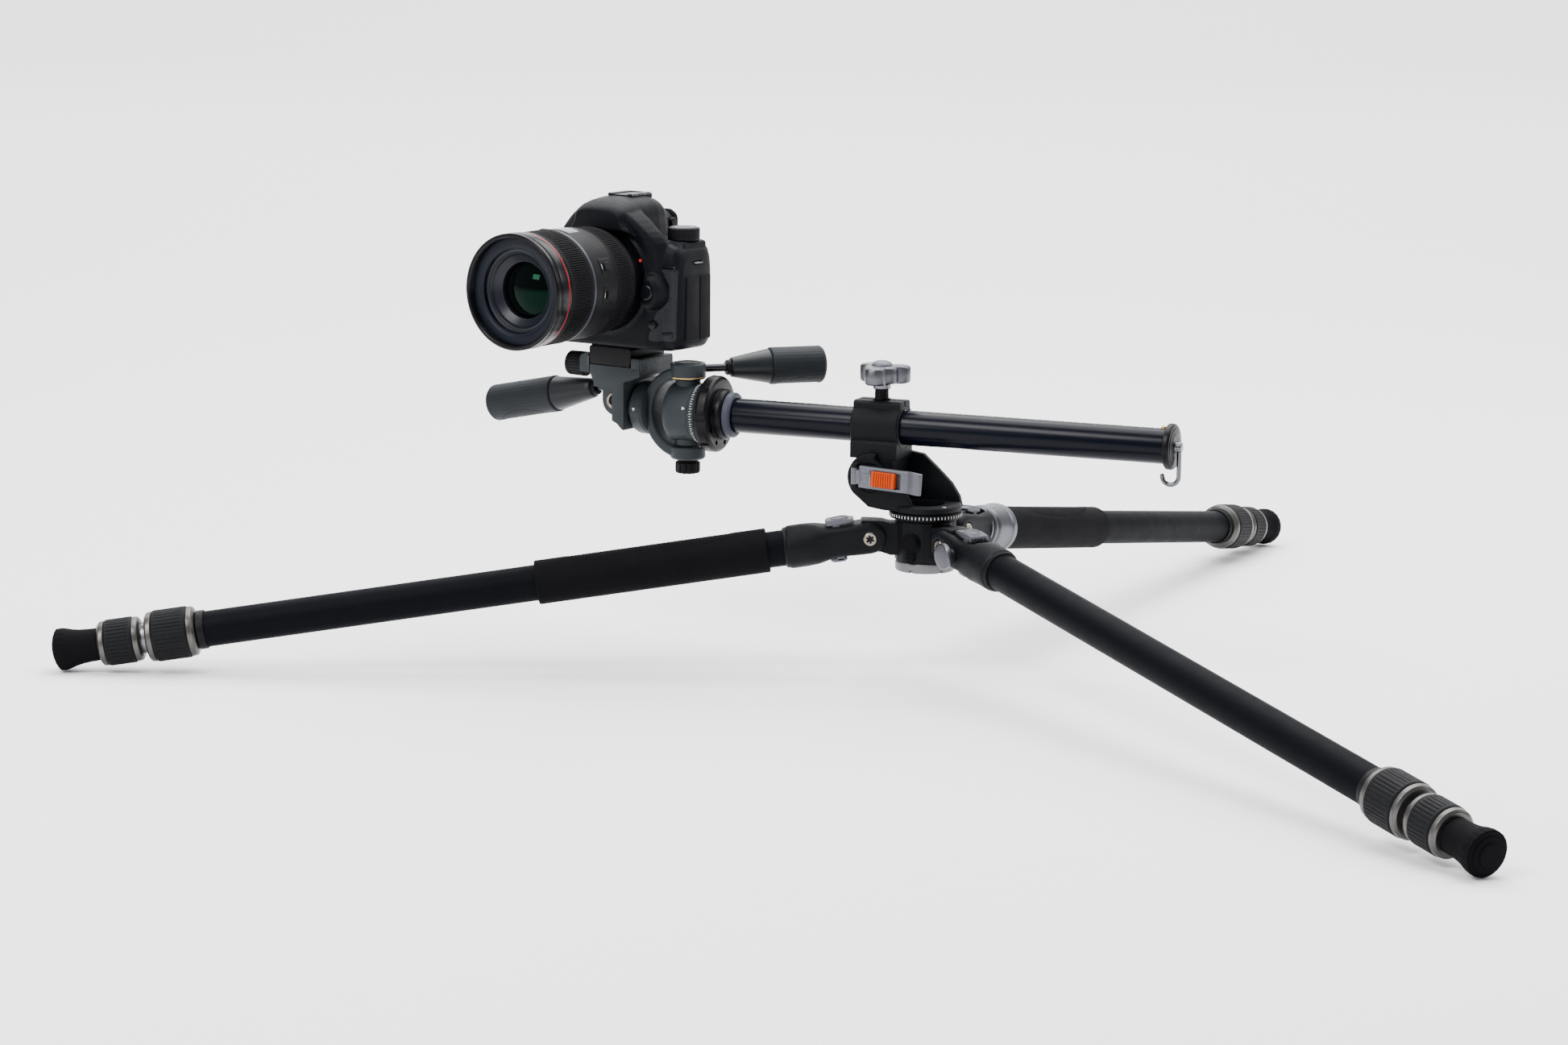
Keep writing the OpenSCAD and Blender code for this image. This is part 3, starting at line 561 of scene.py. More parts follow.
WINDOW_GREY = material("window_grey", (0.20, 0.21, 0.24), 0.12, bump=0.02, mottle=0.1, drift=0.01)
DIAL_ALLOY = material("dial_alloy", (0.045, 0.047, 0.060), 0.42, metal=0.4, bump=0.2)
SHOE_METAL = material("shoe_metal", (0.020, 0.020, 0.024), 0.36, metal=0.6, bump=0.1, wear=0.5)
SCREEN = material("screen", (0.0020, 0.0024, 0.0036), 0.06, bump=0.01, drift=0.01, specular=0.4)
# Opaque coated glass: its near-black colour is painted shade for the dark lens interior behind the front
# element, while the green reflections come from the specular tint.
SHADED_COATED_GLASS = material("coated_glass_painted_shade", (0.0010, 0.0012, 0.0014), 0.03, bump=0.002, mottle=0.05,
        drift=0.005, specular=0.08, tint=(0.20, 0.95, 0.55))
MIRROR = material("mirror", (0.80, 0.82, 0.84), 0.05, metal=1.0, bump=0.01, mottle=0.02, drift=0.01)
SENSOR = material("sensor", (0.03, 0.08, 0.06), 0.12, bump=0.02, drift=0.01)


# --- Camera, floor and lights

VIEW_FROM = Vector((-0.1110, -2.8028, 0.5390))
VIEW_YAW, VIEW_PITCH, VIEW_ROLL = (math.radians(a) for a in (-0.19, -10.23, 0.49))
VIEW_LENS = 90.98


def view_camera():
    ahead = Vector((-math.sin(VIEW_YAW) * math.cos(VIEW_PITCH), math.cos(VIEW_YAW) * math.cos(VIEW_PITCH),
            math.sin(VIEW_PITCH)))
    level = Vector((math.cos(VIEW_YAW), math.sin(VIEW_YAW), 0))
    above = level.cross(ahead)
    right = level * math.cos(VIEW_ROLL) + above * math.sin(VIEW_ROLL)
    up = right.cross(ahead)
    data = bpy.data.cameras.new("view")
    data.sensor_width = 36
    data.lens = VIEW_LENS
    data.clip_start = 0.05
    data.clip_end = 50
    cam = linked("view", data)
    cam.matrix_world = Matrix((right, up, -ahead)).transposed().to_4x4()
    cam.matrix_world.translation = VIEW_FROM
    bpy.context.scene.camera = cam


def softbox(name, at, aim, size, power):
    data = bpy.data.lights.new(name, "AREA")
    data.shape = "RECTANGLE"
    data.size, data.size_y = size
    data.energy = power
    lamp = linked(name, data)
    at = Vector(at)
    lamp.location = at
    lamp.rotation_euler = (Vector(aim) - at).to_track_quat("-Z", "Y").to_euler()


def floor():
    """A pale floor that curves up behind the object."""
    bm = bmesh.new()
    gap, half, front, back, radius, rise, steps = 0.0005, 12.0, -12.0, 6.8, 1.8, 6.0, 24
    level = cad_bounds[0][2] - gap
    rows = [(front, level), (back, level)]
    rows += [(back + radius * math.sin(t), level + radius * (1 - math.cos(t)))
            for t in (math.pi / 2 * k / steps for k in range(1, steps + 1))]
    rows.append((back + radius, level + rise))
    line = [(bm.verts.new((-half, y, z)), bm.verts.new((half, y, z))) for y, z in rows]
    for a, b in zip(line, line[1:]):
        bm.faces.new([a[0], a[1], b[1], b[0]])
    mesh = bpy.data.meshes.new("floor")
    bm.to_mesh(mesh)
    bm.free()
    obj = linked("floor", mesh)
    obj.data.materials.append(material("floor", (0.90, 0.90, 0.905), 0.8, grain=60, bump=0.02,
            mottle=0.004))
    obj.data.shade_smooth()


def daylight():
    world = bpy.data.worlds.new("room")
    world.use_nodes = True
    background = world.node_tree.nodes["Background"]
    background.inputs["Color"].default_value = (0.93, 0.95, 1.0, 1)
    background.inputs["Strength"].default_value = 0.50
    bpy.context.scene.world = world
    softbox("key", (-1.7, -1.6, 2.4), (0, 0, 0.05), (1.6, 1.1), 120)
    softbox("top", (0.3, 0.5, 2.8), (0, 0.0, 0), (3.2, 2.2), 190)
    softbox("side", (2.3, 0.3, 1.5), (0.1, 0, 0.05), (0.7, 1.4), 32)
    softbox("front", (-1.78, -1.35, 0.85), (-0.28, -0.1, 0.2), (0.50, 0.32), 11)
    softbox("backdrop", (0, 4.4, 4.4), (0, 6.0, 0), (10.0, 4.0), 900)


# --- Legs. X runs down the leg from its pivot, Z is the leg's upper side.

TUBE_R = 13.0
MID_R = 11.2
LOW_R = 9.6
UPPER_END = 500.0
FORK_SLOT = 8.9
SOCKET_START = 37.0
GRIP = (74.0, 242.0)
LOCK_1 = (490.0, 526.0)
LOCK_2 = (530.0, 561.0)
FOOT = (561.3, 595.0)


def leg_casting(name, place):
    """The forked casting: rounded at the pivot, slim at the waist, round where it holds the tube."""
    stations = [(-11.5, 0.8, 13.2), (-11.0, 3.3, 13.9), (-9.5, 6.5, 14.4), (-6.5, 9.5, 14.5),
            (-3, 11.1, 14.5), (0, 11.5, 14.5), (8, 11.4, 14.5), (18, 10.9, 14.5), (26, 11.2, 14.5),
            (32, 12.6, 14.6), (38, 14.4, 15.2), (43, 15.3, 15.6), (48, 15.6, 15.7), (57, 15.6, 15.7),
            (59, 15.2, 15.3), (60, 14.4, 14.5), (60, 13.3, 13.3)]
    sections = []
    for x, half_h, half_w in stations:
        power = 6 - 4 * min(1, max(0, (x - 20) / 24))
        sections.append([(x, u, v) for u, v in squircle(half_w, half_h, power, 72)])
    body = to_object(name, loft(sections), place)
    slot = block((-20, -FORK_SLOT, -30), (SOCKET_START - 1, FORK_SLOT, 30), 0)
    bm = plug(SOCKET_START + 6, 70, 13.1, "X", 64)
    seats = merged(*[lathe([(s * 12.2, 0), (s * 12.2, 5.6), (s * 20, 6.4), (s * 20, 0)], "Y", 48, 0)
            for s in (-1, 1)])
    bolt = plug(-30, 30, 4.3, "Y", 40)
    cut(body, place, slot, bm, seats, bolt)
    return round_edges(body, 0.7, 2, 40)


def bolt_head(side):
    """A socket-head bolt sunk in its seat, facing out on one side."""
    head = lathe([(12.3, 0), (12.3, 5.0), (14.3, 5.0, 0.5), (15.0, 4.2), (15.0, 3.0), (13.6, 2.4),
            (13.2, 0)], "Y", 48, 0.15)
    corners = [polar(2.55, math.pi * k / 3) for k in range(6)]
    star = merged(*[rod((x, 13.3, z), (x, 14.8, z), 0.55, 12) for x, z in corners])
    bm = merged(head, star)
    if side < 0:
        flipped(bm)
    return bm


def twist_lock(name, place, start, end, radius, inner, body, node):
    """Two bevelled gunmetal rings with a ribbed rubber sleeve between them."""
    first = start + 5.5
    last = end - 5.0
    make(name + "_rings", merged(lathe([(start, inner), (start, radius - 3.4), (start + 1.6, radius - 1.0),
            (first - 0.6, radius - 0.5), (first, radius - 1.1), (first, inner)], "X", 96, 0.35, loop=True),
            lathe([(last, inner), (last, radius - 1.1), (last + 0.6, radius - 0.5),
            (end - 1.4, radius - 0.9), (end, radius - 2.6), (end, inner)], "X", 96, 0.35, loop=True)),
            place, body, GUNMETAL)
    count = int(radius * 2.2)
    deep = fluted(0.55, count, 3, first + 1.6, last - 1.6)
    make(name + "_sleeve", lathe([(first, inner + 0.2), (first, radius - 0.9), (first + 1.2, radius),
            (last - 1.2, radius), (last, radius - 0.9), (last, inner + 0.2)], "X", 216, 0.5, loop=True,
            wave=deep, step=1.2), place, body, RIB_RUBBER, (node,), 50)


def leg_foot(name, place, body, node):
    profile = [(FOOT[0], 0), (FOOT[0], 11.4), (FOOT[0] + 1.2, 11.8), (569, 12.0), (575, 12.5), (580, 13.4),
            (584, 14.6), (587, 15.2, 1.2), (591.5, 15.2, 0.5), (591.5, 13.9), (592.6, 13.7), (592.6, 11.6),
            (593.8, 11.4), (593.8, 8.0), (595, 7.6), (595, 0)]
    grip = fluted(0.35, 20, 2, 586.5, 591.4)
    bm = lathe(profile, "X", 160, 0.4, wave=grip, step=1.5)
    make(name, bm, place, body, GRIP_RUBBER)
    tube = lathe([(80, LOW_R), (FOOT[0] + 4, LOW_R), (FOOT[0] + 4, LOW_R - 1.2), (80, LOW_R - 1.2)], "X",
            64, 0.1, True)
    make(name.replace("foot", "lower_tube"), tube, place, body, BARE_TUBE, (node,))


def leg_grip(name, place, body, node):
    """Rubber sleeve with turned-in ends and an oval ribbed patch on its upper side."""
    start, end = GRIP
    middle, half_len, half_turn, pitch = (start + end) / 2, 62.0, 0.95, 2.6

    def patch(a, t):
        turn = turn_from(math.pi / 2, t)
        inside = ((a - middle) / half_len) ** 2 + (turn / half_turn) ** 2
        if inside > 1.0:
            return 0.0
        if inside > 0.93:
            return -0.55
        return -0.15 - 0.35 * max(0, math.cos(a * 2 * math.pi / pitch)) ** 2

    bm = lathe([(start, TUBE_R + 0.1), (start, 15.5), (start + 0.8, 16.0), (end - 0.8, 16.0), (end, 15.5),
            (end, TUBE_R + 0.1)], "X", 120, 0.4, loop=True, wave=patch, step=0.65)
    make(name, bm, place, body, GRIP_RUBBER, (node,), 60)


def angle_lock(name, place, body, node):
    """A dished silver thumb tab over the leg's head, its pawl and the small tab beneath."""
    top = prism([(9.5, 13.3), (12.5, 12.6), (17, 12.0), (30, 12.0), (30, 14.8), (29, 16.2), (20, 16.4),
            (10, 15.0)], -7.5, 7.5, "Y", 0.7, 0.7)
    tab = to_object(name, top, place)
    dish = lathe([(15.3, 0), (15.5, 3.6), (16.4, 5.4), (18, 6), (18, 0)], "Z", 40, 0.4)
    cut(tab, place, moved(dish, shift(20, 0, 0)))
    piece(tab, body, SILVER_CAST, (node,))
    rim = lathe([(16.2, 5.3), (16.55, 5.5), (16.75, 6.0), (16.55, 6.5), (16.2, 6.6)], "Z", 48, 0.1, True)
    pawl = block((20, -7.4, -14.0), (25.5, 7.4, 12.4), 0.6)
    under = prism([(18, -11.9), (30, -11.9), (30, -13.4), (27, -14.6), (20, -14.6), (18, -13.4)], -7.4,
            7.4, "Y", 0.5, 0.5)
    ridges = merged(*[block((28.2, y - 0.5, 12.4), (30.4, y + 0.5, 15.6), 0.2)
            for y in (-5, -2.5, 0, 2.5, 5)])
    make(name + "_pawl", merged(moved(rim, shift(20, 0, 0)), pawl, under, ridges), place, body,
            SILVER_CAST)


def leg(name):
    place = LEG[name]
    body = "leg_" + name
    tip = "_" + name
    piece(leg_casting("leg_casting" + tip, place), body, CAST_BLACK)
    make("upper_tube" + tip, lathe([(44, TUBE_R), (UPPER_END, TUBE_R), (UPPER_END, TUBE_R - 1.5),
            (44, TUBE_R - 1.5)], "X", 96, 0.2, True), place, body, TUBE_BLACK,
            ("leg_section" + tip,))
    ferrule = lathe([(59.5, 13.05), (59.5, 14.6), (61.2, 14.6), (62.2, 13.7), (62.2, 13.05)], "X", 96, 0.3,
            True)
    stop = lathe([(483.5, 13.05), (483.5, 14.1), (488.6, 14.1), (489.4, 13.6), (489.4, 13.05)], "X", 96,
            0.4, True)
    make("tube_collars" + tip, merged(ferrule, stop), place, body, KNOB_BLACK)
    if name != "front":
        leg_grip("grip" + tip, place, body, "leg_grip" + tip)
    angle_lock("angle_lock_tab" + tip, place, "angle_lock" + tip, "angle_lock" + tip)
    twist_lock("upper_twist" + tip, place, *LOCK_1, 18.7, MID_R + 0.3, "upper_lock" + tip,
            "upper_lock" + tip)
    middle = lathe([(70, MID_R), (540, MID_R), (540, MID_R - 1.3), (70, MID_R - 1.3)], "X", 72, 0.1, True)
    make("middle_section" + tip, middle, place, "middle" + tip, BARE_TUBE,
            ("middle_tube" + tip,))
    twist_lock("lower_twist" + tip, place, *LOCK_2, 16.8, LOW_R + 0.3, "lower_lock" + tip,
            "lower_lock" + tip)
    leg_foot("foot" + tip, place, "foot" + tip, "foot_tube" + tip)


def rear_coupling():
    """The detachable leg's bright turned coupling, between its casting and its grip."""
    profile = [(36, 14.0), (36, 15.9), (38, 16.0), (39, 15.2), (41, 15.2), (42, 16.4), (44.5, 16.6),
            (45.5, 15.6), (47, 15.6), (48.5, 16.9), (60, 17.2), (66, 17.6), (67.5, 18.3), (72.5, 18.3),
            (73.6, 17.4), (73.6, 13.05), (36, 13.05)]
    return lathe(profile, "X", 96, 0.35, True)


def leg_pins():
    parts = []
    for n in LEGS:
        for side in (-1, 1):
            bm = bolt_head(side)
            bm.transform(HUB.inverted() @ LEG[n])
            parts.append(bm)
        shaft = rod((0, -12.5, 0), (0, 12.5, 0), 4.0, 32)
        shaft.transform(HUB.inverted() @ LEG[n])
        parts.append(shaft)
    on_hub("leg_bolts", merged(*parts), "nickel_screw", NICKEL, ("leg_pivot_bolts",))


def leg_knob():
    place = LEG["front"] @ shift(19, -14.5, 0) @ spin(90, "X")
    disc = lathe([(0.3, 3.0), (0.3, 5.0), (4.3, 5.0), (4.3, 6.6), (5.1, 8.3), (6.2, 8.9), (6.6, 9.3),
            (8.6, 9.3, 0.6), (9.4, 8.6), (9.6, 7.6), (9.75, 0)], "Z", 96, 0.3)
    boss = prism([polar(4.7, a) for a in (math.pi * (2 * k + 1) / 8 for k in range(8))], 0.4, 4.4, "Z",
            0.3, 0.3)
    stem = rod((0, 0, -4.5), (0, 0, 1), 3.0, 24)
    make("leg_knob_disc", merged(disc, boss, stem), place, "leg_knob", SILVER,
            ("leg_knob",))


# --- Spider. The local frame is the hub's: Z up, zero at the hub's bottom face.

HUB_R = 22.0
PIVOT_R = 40.0
PIVOT_Z = 24.0
LEG_AZIMUTHS = (180, 300, 60)


def spider():
    """Faceted hub with a tongue for each leg."""
    facets = 18
    flats = lambda a, t: -0.35 * abs(math.sin(t * facets / 2))
    hub = to_object("spider_hub", lathe([(0, 13.6), (0, 16.9), (7, 16.9), (7, 20.6), (8.2, 21.8, 0.6),
            (24, 22.0), (36.6, 22.0), (38, 21.3), (38, 16.4), (29.6, 16.4), (29.6, 13.6)], "Z", 216, 0.3,
            True, flats, 3.0), HUB)
    for azimuth in LEG_AZIMUTHS:
        tongue = prism([(-9, 12.0, 1), (6.2, 12.6, 2.5), (6.9, 9.5, 1), (8.5, 6.5, 4), (10.1, 2, 4),
                (10.1, -3, 4), (8.2, -7.5, 5), (3, -10.2, 5), (-8, -10.2, 3), (-15, -12.5, 4),
                (-22.5, -12.5, 0.5), (-22.5, 10.5, 0.5), (-14, 10.5, 3)], -8.6, 8.6, "Y", 1, 0.8)
        join(hub, HUB @ spin(azimuth, "Z") @ shift(PIVOT_R, 0, PIVOT_Z), tongue)
    bore = plug(-1, 40, 13.6, "Z", 96)
    counter = plug(29.6, 40, 16.4, "Z", 96)
    cut(hub, HUB, bore, counter)
    piece(hub, "hub", CAST_BLACK, ("spider_casting",), 28)


def spider_plug():
    """The rubber cap of the accessory thread, with a short pull tail below it."""
    level = shift(0, 0, PIVOT_Z - 2) @ spin(90, "Y")
    place = HUB @ spin(240, "Z") @ level
    make("thread_boss", lathe([(HUB_R - 3, 0), (HUB_R - 3, 7.2), (HUB_R + 1.6, 6.9), (HUB_R + 1.6, 0)],
            "Z", 64, 0.4), place, "hub", CAST_BLACK)
    cap = lathe([(HUB_R + 1.7, 0), (HUB_R + 1.7, 6.5), (HUB_R + 3.4, 6.5, 0.9), (HUB_R + 4.1, 5.4, 0.6),
            (HUB_R + 3.7, 4.6), (HUB_R + 3.7, 0)], "Z", 64, 0.4)
    tail = prism([(2, -3.6, 1), (14, -2.9, 3), (14, 2.9, 3), (2, 3.6, 1)], HUB_R + 0.2, HUB_R + 1.8, "Z",
            1, 0.4)
    make("thread_plug_cap", merged(cap, tail), place, "hub", GRIP_RUBBER, ("thread_plug",))


def base_ring():
    ring = to_object("base_ring_alloy", lathe([(0, 17.05), (0, 20.6), (0.9, 21.5), (6.1, 21.5),
            (6.95, 20.8), (6.95, 17.05)], "Z", 160, 0.3, True), HUB)
    notches = [moved(block((18.6, -1.6, -1), (23, 1.6, 2.1), 0.2), Matrix.Rotation(math.pi * k / 3, 4, "Z"))
            for k in range(6)]
    cut(ring, HUB, merged(*notches))
    round_edges(ring, 0.15, 1, 50)
    piece(ring, "hub", PALE_ALLOY, ("base_ring",))


def dial():
    """The index ring on the hub's top: its rim carries white ticks."""
    on_hub("index_ring", lathe([(38.05, 16.5), (38.05, 23.2), (38.7, 25.6), (39.8, 26.3, 0.3),
            (42.4, 26.3, 0.3), (42.95, 25.9), (42.95, 16.5)], "Z", 216, 0.3, True), "black_casting",
            CAST_BLACK, ("dial_ring",))
    ticks = [moved(block((26.1, -0.28, 40.1), (26.42, 0.28, 42.0), 0.05), spin(6 * k, "Z"))
            for k in range(60)]
    on_hub("index_ticks", merged(*ticks), "black_casting", WHITE_PAINT)


# --- Column base and its lever. X runs towards the column's free end.

FLANGE_Z = 43.3
TILT_X = -35.0
TILT_Z = 67.0
CHEEK_IN = 16.6
CHEEK_OUT = 21.5
LEVER_PIN_X = -44.0
LEVER_PIN_Y = -28.5
EAR_R = 2.5
EAR_LOW = 63.0
EAR_HIGH = 75.6


def arc_points(cx, cz, radius, start, end, steps=10):
    return [(cx + radius * math.cos(math.radians(a)), cz + radius * math.sin(math.radians(a)))
            for a in (start + (end - start) * k / steps for k in range(steps + 1))]


def cheek(reach, low, high):
    """A cheek plate: round over the tilt pivot, swept down to the flange in a long curve."""
    outline = [(-36, 46), (-24, 44.4), (reach, 44.4), (reach - 2, 52), (reach - 8, 61), (reach - 18, 70.5)]
    outline += [(reach - 30, 81), (-31, TILT_Z + 17.4)]
    outline += arc_points(TILT_X, TILT_Z, 17.5, 95, 222, 14)
    return prism(outline, low, high, "Y", 0, 0.7)


def column_base():
    flange = lathe([(30.0, 13.6), (30.0, 15.95), (FLANGE_Z, 15.95), (FLANGE_Z, 24.6),
            (FLANGE_Z + 0.8, 25.7), (47.2, 25.8, 0.4), (48.2, 24.9, 0.5), (48.2, 13.6)], "Z", 160, 0.3,
            True)
    body = to_object("column_base_casting", flange, BASE)
    join(body, BASE, cheek(-2, -CHEEK_OUT, -CHEEK_IN))
    join(body, BASE, cheek(21, CHEEK_IN, CHEEK_OUT))
    bridge = prism([(-37.6, 46, 2), (-19, 46, 1), (-19, 51, 1), (-37.6, 51, 3)], -CHEEK_OUT + 0.3,
            CHEEK_OUT - 0.3, "Y", 1, 0.5)
    join(body, BASE, bridge)
    bore = plug(20, 72, 13.6, "Z", 96)
    cut(body, BASE, bore)
    piece(body, "column_base", CAST_BLACK, ("column_base",), 30)
    pads = []
    for side in (-1, 1):
        face = CHEEK_OUT - 0.2
        pad = lathe([(face, 0), (face, 12.6), (face + 0.7, 12.2, 0.2), (face + 0.7, 10.6),
                (face + 0.25, 10.2), (face + 0.25, 0)], "Y", 96, 0.15)
        if side < 0:
            flipped(pad)
        moved(pad, shift(TILT_X, 0, TILT_Z))
        pads.append(pad)
    on_base("pivot_pads", merged(*pads), "black_casting", CAST_BLACK)
    triangles = [moved(prism([(24.0, 0.0), (21.2, 1.7), (21.2, -1.7)], 48.15, 48.4, "Z", 0, 0),
            spin(a, "Z")) for a in (-122, -32, 58, 148)]
    on_base("flange_marks", merged(*triangles), "black_casting", WHITE_PAINT)


def lever_ears():
    """Two ears and a pin on the near cheek, which carry the lever's barrel."""
    parts = [rod((LEVER_PIN_X, LEVER_PIN_Y, EAR_LOW), (LEVER_PIN_X, LEVER_PIN_Y, EAR_HIGH), 1.2, 24)]
    left, right, near = LEVER_PIN_X - EAR_R, LEVER_PIN_X + EAR_R, LEVER_PIN_Y - EAR_R
    for low, high in ((EAR_LOW - 2.4, EAR_LOW), (EAR_HIGH, EAR_HIGH + 2.4)):
        outline = [(left, 1 - CHEEK_OUT, 0.2), (left, near, EAR_R), (right, near, EAR_R),
                (right, 1 - CHEEK_OUT, 0.2)]
        parts.append(prism(outline, low, high, "Z", 0.2, 0.3))
    on_base("lever_ears", merged(*parts), "black_casting", CAST_BLACK)


def tilt_bolt():
    near = lathe([(21.6, 0), (21.6, 5.9), (22.2, 6.1), (24.0, 5.6, 0.5), (24.3, 4.6), (24.3, 3.0),
            (23.1, 2.4), (23.0, 0)], "Y", 64, 0.2)
    flipped(near)
    nut = prism([polar(8.6, math.pi * k / 3) for k in range(6)], 21.7, 26.3, "Y", 0.4, 0.6)
    shaft = rod((0, -22, 0), (0, 22, 0), 4.9, 48)
    on_base("tilt_pivot_bolt", moved(merged(near, nut, shaft), shift(TILT_X, 0, TILT_Z)), "nickel_screw",
            NICKEL, ("tilt_bolt",))


LEVER_PLACE = BASE @ shift(0, 0, TILT_Z) @ spin(3, "Y")
LEVER_Y = (-31.0, -26.0)
LEVER_X = (-44.0, 9.0)
LEVER_HALF = 7.8


def clamp_lever():
    """A die-cast lever seen edge-up: a long plate, framed window, and a free end turned outwards."""
    x0, x1 = LEVER_X
    outline = [(x0 + 3.6, -26.2, 0.8), (x0 + 3.6, -30.4, 1.0), (x0 + 9, -31.0, 2.5), (x0 + 36, -31.0, 1),
            (x1 - 12, -30.4, 4), (x1 - 7, -33.0, 3), (x1 - 2.5, -34.0, 1.6), (x1, -32.9, 1.0),
            (x1 - 1.0, -29.8, 1), (x1 - 7, -27.6, 3), (x1 - 13, -26.0, 3)]
    lever = to_object("clamp_lever_plate", prism(outline, -LEVER_HALF, LEVER_HALF, "Z", 1, 0.9, 5),
            LEVER_PLACE)
    window = block((x0 + 13.8, LEVER_Y[0] - 2, -5.8), (x0 + 36.2, LEVER_Y[1] - 1.5, 5.8), 0.8)
    notch = block((x0 + 5.5, LEVER_Y[0] - 2, -3.4), (x0 + 11.5, LEVER_Y[0] + 0.8, 3.4), 1.0)
    cut(lever, LEVER_PLACE, window, notch)
    round_edges(lever, 0.3, 2, 50)
    piece(lever, "clamp_lever", SILVER_CAST, ("clamp_lever",))
    pin = shift(LEVER_PIN_X, LEVER_PIN_Y, 0)
    barrel = hoop(EAR_LOW + 0.3, EAR_HIGH - 0.3, 1.4, 2.5, "Z", 40, 0.2)
    web = block((1.6, -2.4, EAR_LOW + 0.8), (5.0, 2.4, EAR_HIGH - 1.8), 0.2)
    make("clamp_lever_barrel", moved(merged(barrel, web), pin), BASE, "clamp_lever",
            SILVER_CAST)
    make("clamp_lever_rib", block((x0 + 11.9, LEVER_Y[0] - 0.35, -6.4), (x0 + 13.4, LEVER_Y[0] + 1, 6.4),
            0.3), LEVER_PLACE, "clamp_lever", POLISHED)


def lever_button():
    x0 = LEVER_X[0] + 14.3
    face = LEVER_Y[0] - 2.6
    body = to_object("lever_slide_button", block((x0, face, -5.5), (x0 + 18, LEVER_Y[1] - 1.8, 5.5), 0.9),
            LEVER_PLACE)
    grooves = merged(*[block((x0 + 2.6 + 1.75 * k - 0.42, face - 1, -6), (x0 + 2.6 + 1.75 * k + 0.42,
            face + 0.75, 6), 0.15) for k in range(8)])
    cut(body, LEVER_PLACE, grooves)
    piece(body, "lever_button", ORANGE, ("lever_button",), 30)


# --- Collar: it clamps the column and hangs on the tilt bolt. X along the column.

COLLAR = COLUMN @ shift(TILT_X, 0, 0)
on_knob = on(COLLAR, "collar_knob")


def collar():
    ring = lathe([(-18, 15.1), (-18, 16.4), (-17.2, 17.4), (17.2, 17.4), (18, 16.4), (18, 15.1)], "X", 128,
            0.3, True)
    body = to_object("collar_casting", ring, COLLAR)
    top = prism([(-10.4, 8, 0.5), (-10.4, 17.4, 1.2), (-8.6, 19.0, 1.0), (8.6, 19.0, 1.0),
            (10.4, 17.4, 1.2), (10.4, 8, 0.5), (6, 14.5, 0), (-6, 14.5, 0)], -17.9, 17.9, "X", 1, 0.8)
    saddle = prism([(-16.3, -8, 4), (16.3, -8, 4), (16.3, -22, 1), (-16.3, -22, 1)], -17.9, 17.9, "X", 1,
            0.8)
    stem = prism([(-13, -18, 1), (16, -18, 1), (15, -30, 3), (12.9, -35, 2)]
            + arc_points(0, -35, 13, 0, -180, 14)[1:], -16.2, 16.2, "Y", 0, 0.6)
    join(body, COLLAR, top, saddle, stem)
    bore = plug(-30, 30, 15.06, "X", 128)
    slit = block((-30, -1.0, 14), (30, 1.0, 30), 0)
    pin = rod((0, -20, -35), (0, 20, -35), 5.06, 48)
    hole = rod((0, 0, 10), (0, 0, 30), 4.4, 40)
    cut(body, COLLAR, bore, slit, pin, hole)
    piece(body, "collar", CAST_BLACK, ("collar_clamp",), 30)
    make("collar_liner_bush", hoop(-17.9, 17.9, 12.6, 15.0, "X", 96, 0.2), COLLAR, "collar",
            LINER, ("collar_liner",))


def collar_knob():
    """Three-lobed satin knob with a domed cap, on a bright flanged screw."""
    top = 44.0
    on_knob("collar_knob_lobes", lobed_knob(31.0, top), "satin_silver", SILVER, ("collar_knob",), 40)
    on_knob("collar_knob_cap", lathe([(top - 0.2, 0), (top - 0.2, 7.7), (top + 0.7, 7.5),
            (top + 2.2, 6.3, 1.2), (top + 3.3, 3.6, 2), (top + 3.4, 0)], "Z", 72, 0.6), "satin_silver",
            SILVER_CAST)
    on_knob("collar_knob_flange", lathe([(27.0, 4.2), (27.0, 6.1), (27.6, 6.5), (30.2, 6.5), (31.05, 7.4),
            (31.05, 4.2)], "Z", 64, 0.3, True), "satin_silver", POLISHED)
    washer = lathe([(19.3, 4.2), (19.3, 6.4), (20.2, 6.4), (20.2, 5.1), (27.1, 5.0), (27.1, 4.2)], "Z", 64,
            0.2, True)
    screw = rod((0, 0, 15.4), (0, 0, 28), 3.95, 40)
    on_knob("collar_knob_stem", merged(washer, screw), "knob_plastic", GLOSS_BLACK)


def lobe_reach(t):
    """Radius of the three-lobed outline in a direction, with soft hollows between the lobes."""
    lobe_r, lobe_at, waist = 7.2, 13.4, 12.6
    local = turn_from(math.pi / 2, 3 * t) / 3
    aside = lobe_at * abs(math.sin(local))
    reach = lobe_at * math.cos(local) + math.sqrt(lobe_r ** 2 - aside ** 2) if aside < lobe_r else 0
    return min((reach ** 6 + waist ** 6) ** (1 / 6), lobe_at + lobe_r)


def lobed_knob(bottom, top):
    rows = [(bottom, 6.5), (bottom + 0.25, 1.8), (bottom + 0.9, 0.6), (bottom + 1.9, 0), (top - 1.9, 0),
            (top - 0.9, 0.6), (top - 0.25, 1.8), (top, 3.2), (top + 0.05, 9)]
    turns = [2 * math.pi * k / 240 for k in range(240)]
    sections = []
    for z, inset in rows:
        sections.append([(*polar(lobe_reach(t) - inset, t), z) for t in turns])
    return loft(sections)


# --- Column. X runs to the free end, the zero is over the hub.

COLUMN_R = 12.5
HEAD_PLATE = (-170.9, -160.4)


